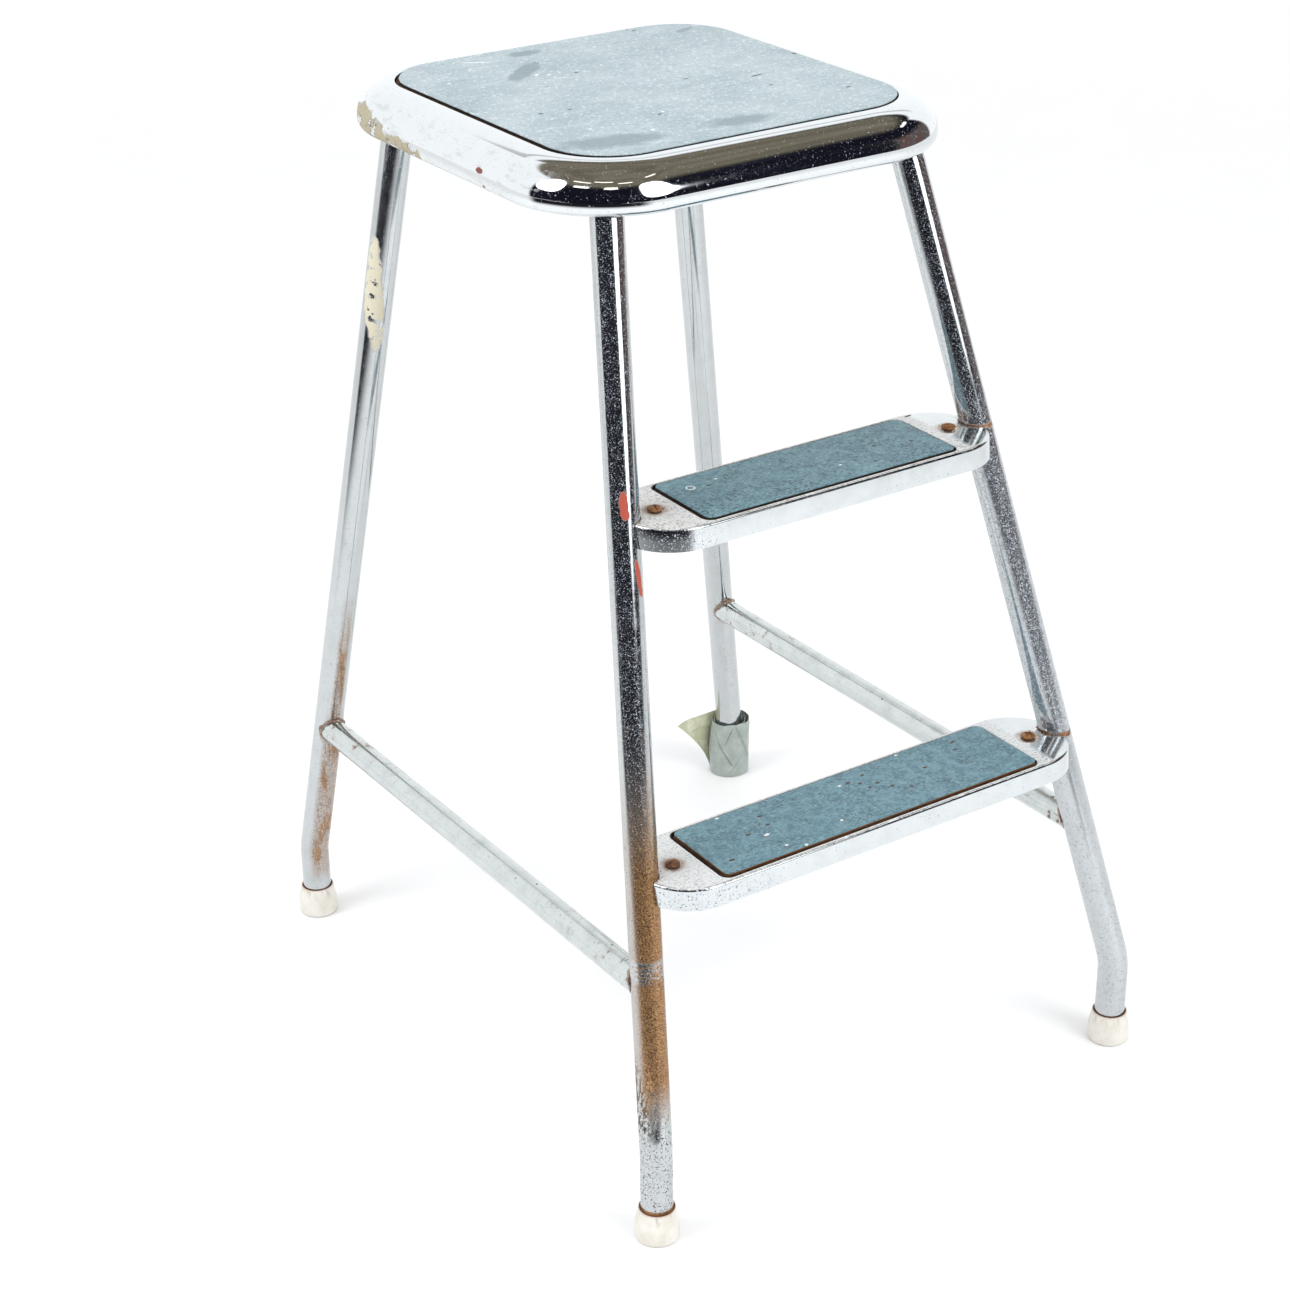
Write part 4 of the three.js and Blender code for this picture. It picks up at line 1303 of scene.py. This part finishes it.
def tread_linoleum(tread):
    s = Surface(f"tread_linoleum_{tread.level}_surface")
    upper = tread.level == "upper"
    seed = 1 + 2 * LEVELS.index(tread.level)
    top = tread.panel_high[2]
    mottled = s.grain(6, 0.35, 0.65, 4, 0.65, seed=seed)
    worn = s.spread(s.grain(24, 0.35, 0.65, seed=seed + 6), 0.25, 1.0)
    pale = s.grain(1.5, 0.54, 0.6, roughness=0.65, stretch=(1.6, 1, 1), seed=seed + 1)
    dark = s.grain(2.1, 0.55, 0.585, 4, 0.72, stretch=(1.4, 1, 1), seed=seed + 4)
    brown = s.grain(3.4, 0.64, 0.68, 4, 0.7, seed=seed + 8)
    nicks = s.marks(top, TREAD_NICKS[tread.level], grain=1.5)
    nicks = s.either(nicks, s.specks(16, 0.8, 0.22, 40 + seed))
    specks = s.marks(top, TREAD_SPECKS[tread.level], grain=1.5)
    specks = s.either(specks, s.specks(22, 0.6, 0.14, 50 + seed))
    if upper:
        offset = s.vector("DISTANCE", s.place, (-82, -115, top)).outputs["Value"]
        specks = s.either(specks, s.band(offset, 2.1, 2.5, 3.1, 3.5))
    below_top = s.math("SUBTRACT", top, s.axis(2))
    edge_colour = (48, 36, 28) if upper else (112, 74, 44)
    colour = s.coats(
        s.mix(mottled, tint(80, 114, 127), tint(104, 140, 152)),
        (pale, 0.45, 150, 176, 184),
        (s.both(dark, worn), 0.9 if upper else 0.55, 36, 48, 50),
        (s.both(brown, worn), 0.8, 92, 74, 54),
        (nicks, 1, 72, 50, 36),
        (specks, 1, 214, 218, 216),
        (s.rise(below_top, 0.4, 0.8), 1, *edge_colour),
    )
    bump = s.bump(s.total(s.both(mottled, 0.5), s.inverse(nicks)), 0.12, 0.5)
    return s.finish(Base_Color=colour, Roughness=0.5, Normal=bump, Specular_IOR_Level=0.4)


def hardboard():
    s = Surface("hardboard_surface")
    fibres = s.noise(1.6, 4, 0.7, stretch=(3, 3, 1), seed=2)
    colour = s.mix(s.rise(fibres, 0.35, 0.7), tint(44, 30, 22), tint(92, 62, 42))
    return s.finish(Base_Color=colour, Roughness=0.85, Normal=s.bump(fibres, 0.2, 0.6))


def plywood():
    s = Surface("plywood_surface")
    ring = s.noise(6, 4, 0.6, stretch=(9, 1, 1), seed=3, distortion=0.4)
    base = s.mix(s.rise(ring, 0.35, 0.68), tint(176, 140, 98), tint(140, 104, 68))
    inputs = {"Vector": s.place, "Scale": 0.06, "Distortion": 0.6}
    plies = s.add("ShaderNodeTexWave", inputs, bands_direction="Z")
    colour = s.coats(base, (s.rise(plies.outputs["Fac"], 0.5, 0.6), 0.3, 104, 72, 46))
    return s.finish(Base_Color=colour, Roughness=0.75, Normal=s.bump(ring, 0.15, 0.5))


def cap_plastic(leg):
    s = Surface(f"foot_cap_{leg.name}_plastic")
    z = s.axis(2)
    offset = s.vector("SUBTRACT", s.place, (*leg.base[:2], 0.0)).outputs[0]
    level = s.vector("MULTIPLY", offset, (1, 1, 0)).outputs[0]
    reach = s.vector("LENGTH", level).outputs["Value"]
    mouth = s.both(s.rise(reach, 13.0, 11.6), s.rise(z, 20, 23))
    runs = s.both(s.rise(z, 14, 24), s.grain(4, 0.56, 0.68, stretch=(1, 1, 4), seed=5), 0.4)
    colour = s.coats(
        s.mix(s.grain(11, 0.35, 0.7, seed=leg.side), tint(224, 221, 214), tint(212, 208, 197)),
        (s.either(mouth, runs), 1, 128, 82, 48),
        (s.grain(6, 0.55, 0.8, 4, seed=9), 0.25, 206, 198, 180),
    )
    return s.finish(Base_Color=colour, Roughness=0.42, Normal=s.bump(s.noise(2.4, 3, 0.6), 0.08, 0.4))


def tape_cloth():
    s = Surface("tape_cloth")
    worn = s.grain(9, 0.4, 0.7, 4, 0.65, seed=2)
    outside = s.mix(worn, tint(150, 160, 155), tint(166, 175, 169))
    inside = s.mix(worn, tint(192, 194, 162), tint(220, 222, 198))
    facing = s.parts(s.add("ShaderNodeNewGeometry").outputs["Normal"])[1]
    hub = LEGS["rear_right"].base
    behind = s.both(s.rise(s.axis(0), hub[0], hub[0] - 3), s.rise(s.axis(1), hub[1] + 3, hub[1] + 5))
    colour = s.mix(s.both(behind, s.rise(facing, 0.1, -0.1)), outside, inside)
    threads = s.add("ShaderNodeTexWave", {"Vector": s.place, "Scale": 0.32}, bands_direction="Z")
    height = s.total(s.both(threads.outputs["Fac"], 0.4), s.noise(2.2, 4, 0.6, seed=6))
    return s.finish(Base_Color=colour, Roughness=0.55, Normal=s.bump(height, 0.18, 0.6), Sheen_Weight=0.1)


def rusty_steel(name, bright, seed):
    s = Surface(name)
    clean = s.grain(2.4, 0.75 - bright * 0.5, 0.85 - bright * 0.4, 4, seed=seed + 1)
    return s.finish(
        Base_Color=s.mix(clean, rust_colour(s, seed), tint(158, 146, 134)),
        Metallic=s.spread(clean, 0.15, 0.95),
        Roughness=s.spread(clean, 0.5, 0.28),
        Normal=s.bump(s.noise(0.9, 4, 0.7, seed=seed), 0.15, 0.7),
    )


def dull_steel():
    s = Surface("dull_steel")
    stain = s.grain(12, 0.45, 0.7, 4, seed=4)
    spots = s.specks(6, 1.1, 0.2, 8)
    return s.finish(
        Base_Color=s.mix(spots, s.mix(stain, tint(150, 151, 150), tint(112, 104, 96)), RUST),
        Metallic=s.inverse(s.either(s.both(stain, 0.5), spots)),
        Roughness=s.spread(stain, 0.35, 0.6),
        Normal=s.bump(s.noise(1.2, 4, 0.6), 0.06, 0.5),
    )


def soften_cad_node(node, surface, width):
    """A better finish and eased edges for a CAD node whose shape is right."""
    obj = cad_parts[node]
    obj.data.materials.clear()
    obj.data.materials.append(surface)
    bevel = obj.modifiers.new("eased_edges", "BEVEL")
    bevel.width = width * MM
    bevel.segments = 2
    bevel.limit_method = "ANGLE"
    bevel.angle_limit = math.radians(30)


# ---- Stage: floor, what the chrome mirrors, lights and camera ------------------------------------------

CAMERA_PLACE = (-0.9537, -1.3965, 1.1308)
CAMERA_RIGHT = Vector((0.8342, -0.5514, -0.0130))
CAMERA_UP = Vector((0.2574, 0.3685, 0.8933))
CAMERA_LENS = 73.015
ROOM_CENTRE = (0.0, 0.06, 0.66)
ROOM_RADIUS = 5.0
FLOOR_SIZE, DARK_FLOOR_SIZE, DARK_FLOOR_HEIGHT = 60.0, 9.0, 0.002
WHITE = (1.0, 1.0, 1.0, 1.0)
# Each window: turn and lift of its middle, half its width and height in degrees, softness, squareness.
LAMPS = (
    (-64, 43, 9, 2.8, 0.2, 6), (-30, 41.5, 7.5, 3.2, 0.2, 6), (78, 38, 8, 1.6, 0.2, 6),
    (-70, 57, 13, 1.2, 0.3, 6), (-40, 61, 14, 1.2, 0.3, 6), (-10, 56, 10, 1.1, 0.3, 6),
    (40, 62, 12, 1.0, 0.3, 6),
)
SOFT_BOXES = ((-97, 35, 15, 18, 0.08, 2.4), (16, 25.5, 16.5, 22.5, 0.08, 2.8))
WARM_SPOTS = ((52, 9, 7, 13, 0.6, 2), (71, 2, 6, 9, 0.5, 2))


def stage_object(name, mesh, material):
    obj = new_object(name, mesh)
    material.cycles.emission_sampling = "NONE"
    obj.data.materials.append(material)
    return obj


def square(name, size, z):
    mesh = bpy.data.meshes.new(name)
    half = size / 2
    points = [(-half, -half, z), (half, -half, z), (half, half, z), (-half, half, z)]
    mesh.from_pydata(points, [], [(0, 1, 2, 3)])
    return mesh


def build_floor():
    """A pale floor that turns pure white farther out, so that it has no horizon."""
    s = Surface("studio_floor")
    colour = s.mix(s.grain(160, 0.3, 0.7, roughness=0.5), (0.86, 0.87, 0.885, 1), (0.88, 0.885, 0.895, 1))
    near = s.add("ShaderNodeBsdfPrincipled", {"Base Color": colour, "Roughness": 0.6}).outputs[0]
    inputs = {0: s.rise(s.reach(), 1100, 3200), 1: near, 2: s.glow(WHITE)}
    s.close(s.add("ShaderNodeMixShader", inputs).outputs[0])
    stage_object("floor", square("floor", FLOOR_SIZE, 0.0), s.material)


def room_material():
    """What the chrome mirrors: a white sweep behind the stool, a dark room in front, soft boxes and lamps.
    It is painted by direction from the room's centre."""
    s = Surface("studio_room")
    out = s.vector("SUBTRACT", s.place, [c / MM for c in ROOM_CENTRE]).outputs[0]
    parts = s.parts(s.vector("NORMALIZE", out).outputs[0])
    turn = s.turn(parts)
    lift = s.math("DEGREES", s.math("ARCSINE", parts[2]))

    def window(turn_at, lift_at, half_turn, half_lift, soft, power):
        offsets = []
        for value, middle_value, half in ((turn, turn_at, half_turn), (lift, lift_at, half_lift)):
            share = s.math("ABSOLUTE", s.math("DIVIDE", s.math("SUBTRACT", value, middle_value), half))
            offsets.append(s.math("POWER", share, power))
        return s.rise(s.total(*offsets), 1 + soft, 1 - soft)

    def windows(rows):
        return s.either(*[window(*row) for row in rows])

    beams = s.grain(900, 0.3, 0.7, 2, 0.5, stretch=(3, 1, 0.3), seed=2)
    ceiling = s.mix(beams, tint(112, 105, 90), tint(136, 128, 112))
    dark = s.mix(s.grain(260, 0.5, 0.8, 4, 0.7, seed=4), tint(23, 23, 33), tint(54, 57, 76))
    patches = s.spread(s.noise(300, 3, 0.6, seed=9), 0.3, 1.0)
    grey_side = s.both(s.rise(turn, 36, 48), s.rise(lift, 26, 14), patches)
    colour = s.coats(
        s.mix(s.rise(lift, 38, 50), dark, ceiling),
        (grey_side, 1, 124, 112, 108),
        (s.both(windows(WARM_SPOTS), s.grain(170, 0.4, 0.6, seed=7)), 0.6, 120, 58, 42),
    )
    left_sweep = s.both(s.rise(turn, -110, -114), s.rise(lift, 52, 47))
    above = s.math("SUBTRACT", lift, s.both(s.rise(turn, 96, 128), 9.0))
    line = s.both(s.rise(turn, 105, 120), s.band(above, 24, 25, 27, 28), 0.45)
    right_sweep = s.both(s.rise(turn, 90, 94), s.rise(above, 37, 33), s.inverse(line))
    colour = s.mix(s.either(left_sweep, right_sweep), colour, (1.18, 1.19, 1.2, 1))
    colour = s.mix(windows(LAMPS), colour, (2.2, 2.05, 1.85, 1))
    colour = s.mix(windows(SOFT_BOXES), colour, (3.4, 3.4, 3.5, 1))
    return s.close(s.glow(colour))


def dark_floor_material():
    """A dark floor in front of the stool, clear near it and on the other sides."""
    s = Surface("studio_dark_floor")
    turn = s.turn(s.parts(s.place))
    mask = s.both(s.band(turn, -116, -104, -6, 12), s.rise(s.reach(), 900, 2100))
    inputs = {0: mask, 1: s.add("ShaderNodeBsdfTransparent").outputs[0], 2: s.glow(tint(34, 33, 38))}
    return s.close(s.add("ShaderNodeMixShader", inputs).outputs[0])


def mirrored_only(obj):
    """Seen in reflections, but neither by the camera nor by the light that falls on the stool."""
    obj.visible_camera = False
    obj.visible_diffuse = False
    obj.visible_transmission = False
    obj.visible_shadow = False


def build_room():
    mesh = bpy.data.meshes.new("studio_room")
    with edited(mesh) as bm:
        bmesh.ops.create_uvsphere(bm, u_segments=64, v_segments=32, radius=ROOM_RADIUS)
        bmesh.ops.translate(bm, verts=bm.verts, vec=ROOM_CENTRE)
    mirrored_only(stage_object("studio_room", mesh, room_material()))
    mesh = square("studio_dark_floor", DARK_FLOOR_SIZE, DARK_FLOOR_HEIGHT)
    mirrored_only(stage_object("studio_dark_floor", mesh, dark_floor_material()))


def area_light(name, turn, lift, size):
    data = bpy.data.lights.new(name, "AREA")
    data.shape = "RECTANGLE"
    data.size, data.size_y = size
    data.energy = 30
    light = new_object(name, data)
    a, e = math.radians(turn), math.radians(lift)
    out = Vector((math.sin(a) * math.cos(e), -math.cos(a) * math.cos(e), math.sin(e)))
    light.location = Vector(ROOM_CENTRE) + out * 2.6
    light.rotation_mode = "QUATERNION"
    light.rotation_quaternion = out.to_track_quat("Z", "Y")
    light.visible_glossy = False
    light.visible_camera = False


def build_light():
    world = bpy.data.worlds.new("studio")
    bpy.context.scene.world = world
    world.use_nodes = True
    background = world.node_tree.nodes["Background"]
    background.inputs["Color"].default_value = WHITE
    background.inputs["Strength"].default_value = 1.0
    area_light("soft_box_left", -97, 35, (1.2, 1.2))
    area_light("soft_box_front", 17, 30, (1.2, 1.4))


def build_camera():
    data = bpy.data.cameras.new("camera")
    data.lens = CAMERA_LENS
    data.sensor_width = 36.0
    data.clip_end = 100.0
    camera = new_object("camera", data)
    back = CAMERA_RIGHT.cross(CAMERA_UP).normalized()
    up = back.cross(CAMERA_RIGHT).normalized()
    right = up.cross(back).normalized()
    camera.matrix_world = Matrix.Translation(CAMERA_PLACE) @ Matrix((right, up, back)).transposed().to_4x4()
    bpy.context.scene.camera = camera
    bpy.context.scene.view_settings.view_transform = "Standard"


# ---- Assembly ------------------------------------------------------------------------------------------

build_camera()
build_light()
build_floor()
build_room()

weld_steel = rusty_steel("weld_steel", 0.8, 3)
screw_steel = rusty_steel("screw_steel", 0.3, 7)
plain_steel = dull_steel()
board_surface = hardboard()

build_seat_shell(shell_chrome())
build_seat_panel(seat_linoleum(), board_surface)
soften_cad_node("seat_core_board", plywood(), 0.6)

for leg in LEGS.values():
    build_leg(leg, leg_chrome(leg))
    build_cap(leg, cap_plastic(leg))
    soften_cad_node(f"leg_plate_{leg.name}", plain_steel, 0.5)
    build_top_weld(leg, weld_steel)
    for i in range(1, 4):
        build_screw(f"plate_screw_{leg.name}_{i}", plain_steel, "steel", False, False, 40 * i)

dull_surface = stretcher_chrome()
for side_name in SIDES:
    build_stretcher(side_name, dull_surface, weld_steel)

# Each tread screw: whether its head is crossed, and how far its slot is turned.
SCREW_HEADS = {
    "lower_left": (False, 15),
    "lower_right": (True, 20),
    "upper_left": (False, 70),
    "upper_right": (False, -20),
}
for level in LEVELS:
    tread = Tread(level)
    build_tread(tread, tread_chrome(tread))
    build_tread_panel(tread, tread_linoleum(tread), board_surface)
    for side_name in SIDES:
        place = f"{level}_{side_name}"
        build_screw(f"tread_screw_{place}", screw_steel, "rusty_steel", True, *SCREW_HEADS[place])
        soften_cad_node(f"tread_tab_{place}", plain_steel, 0.4)
        soften_cad_node(f"tread_nut_{place}", screw_steel, 0.3)

build_tape(tape_cloth())
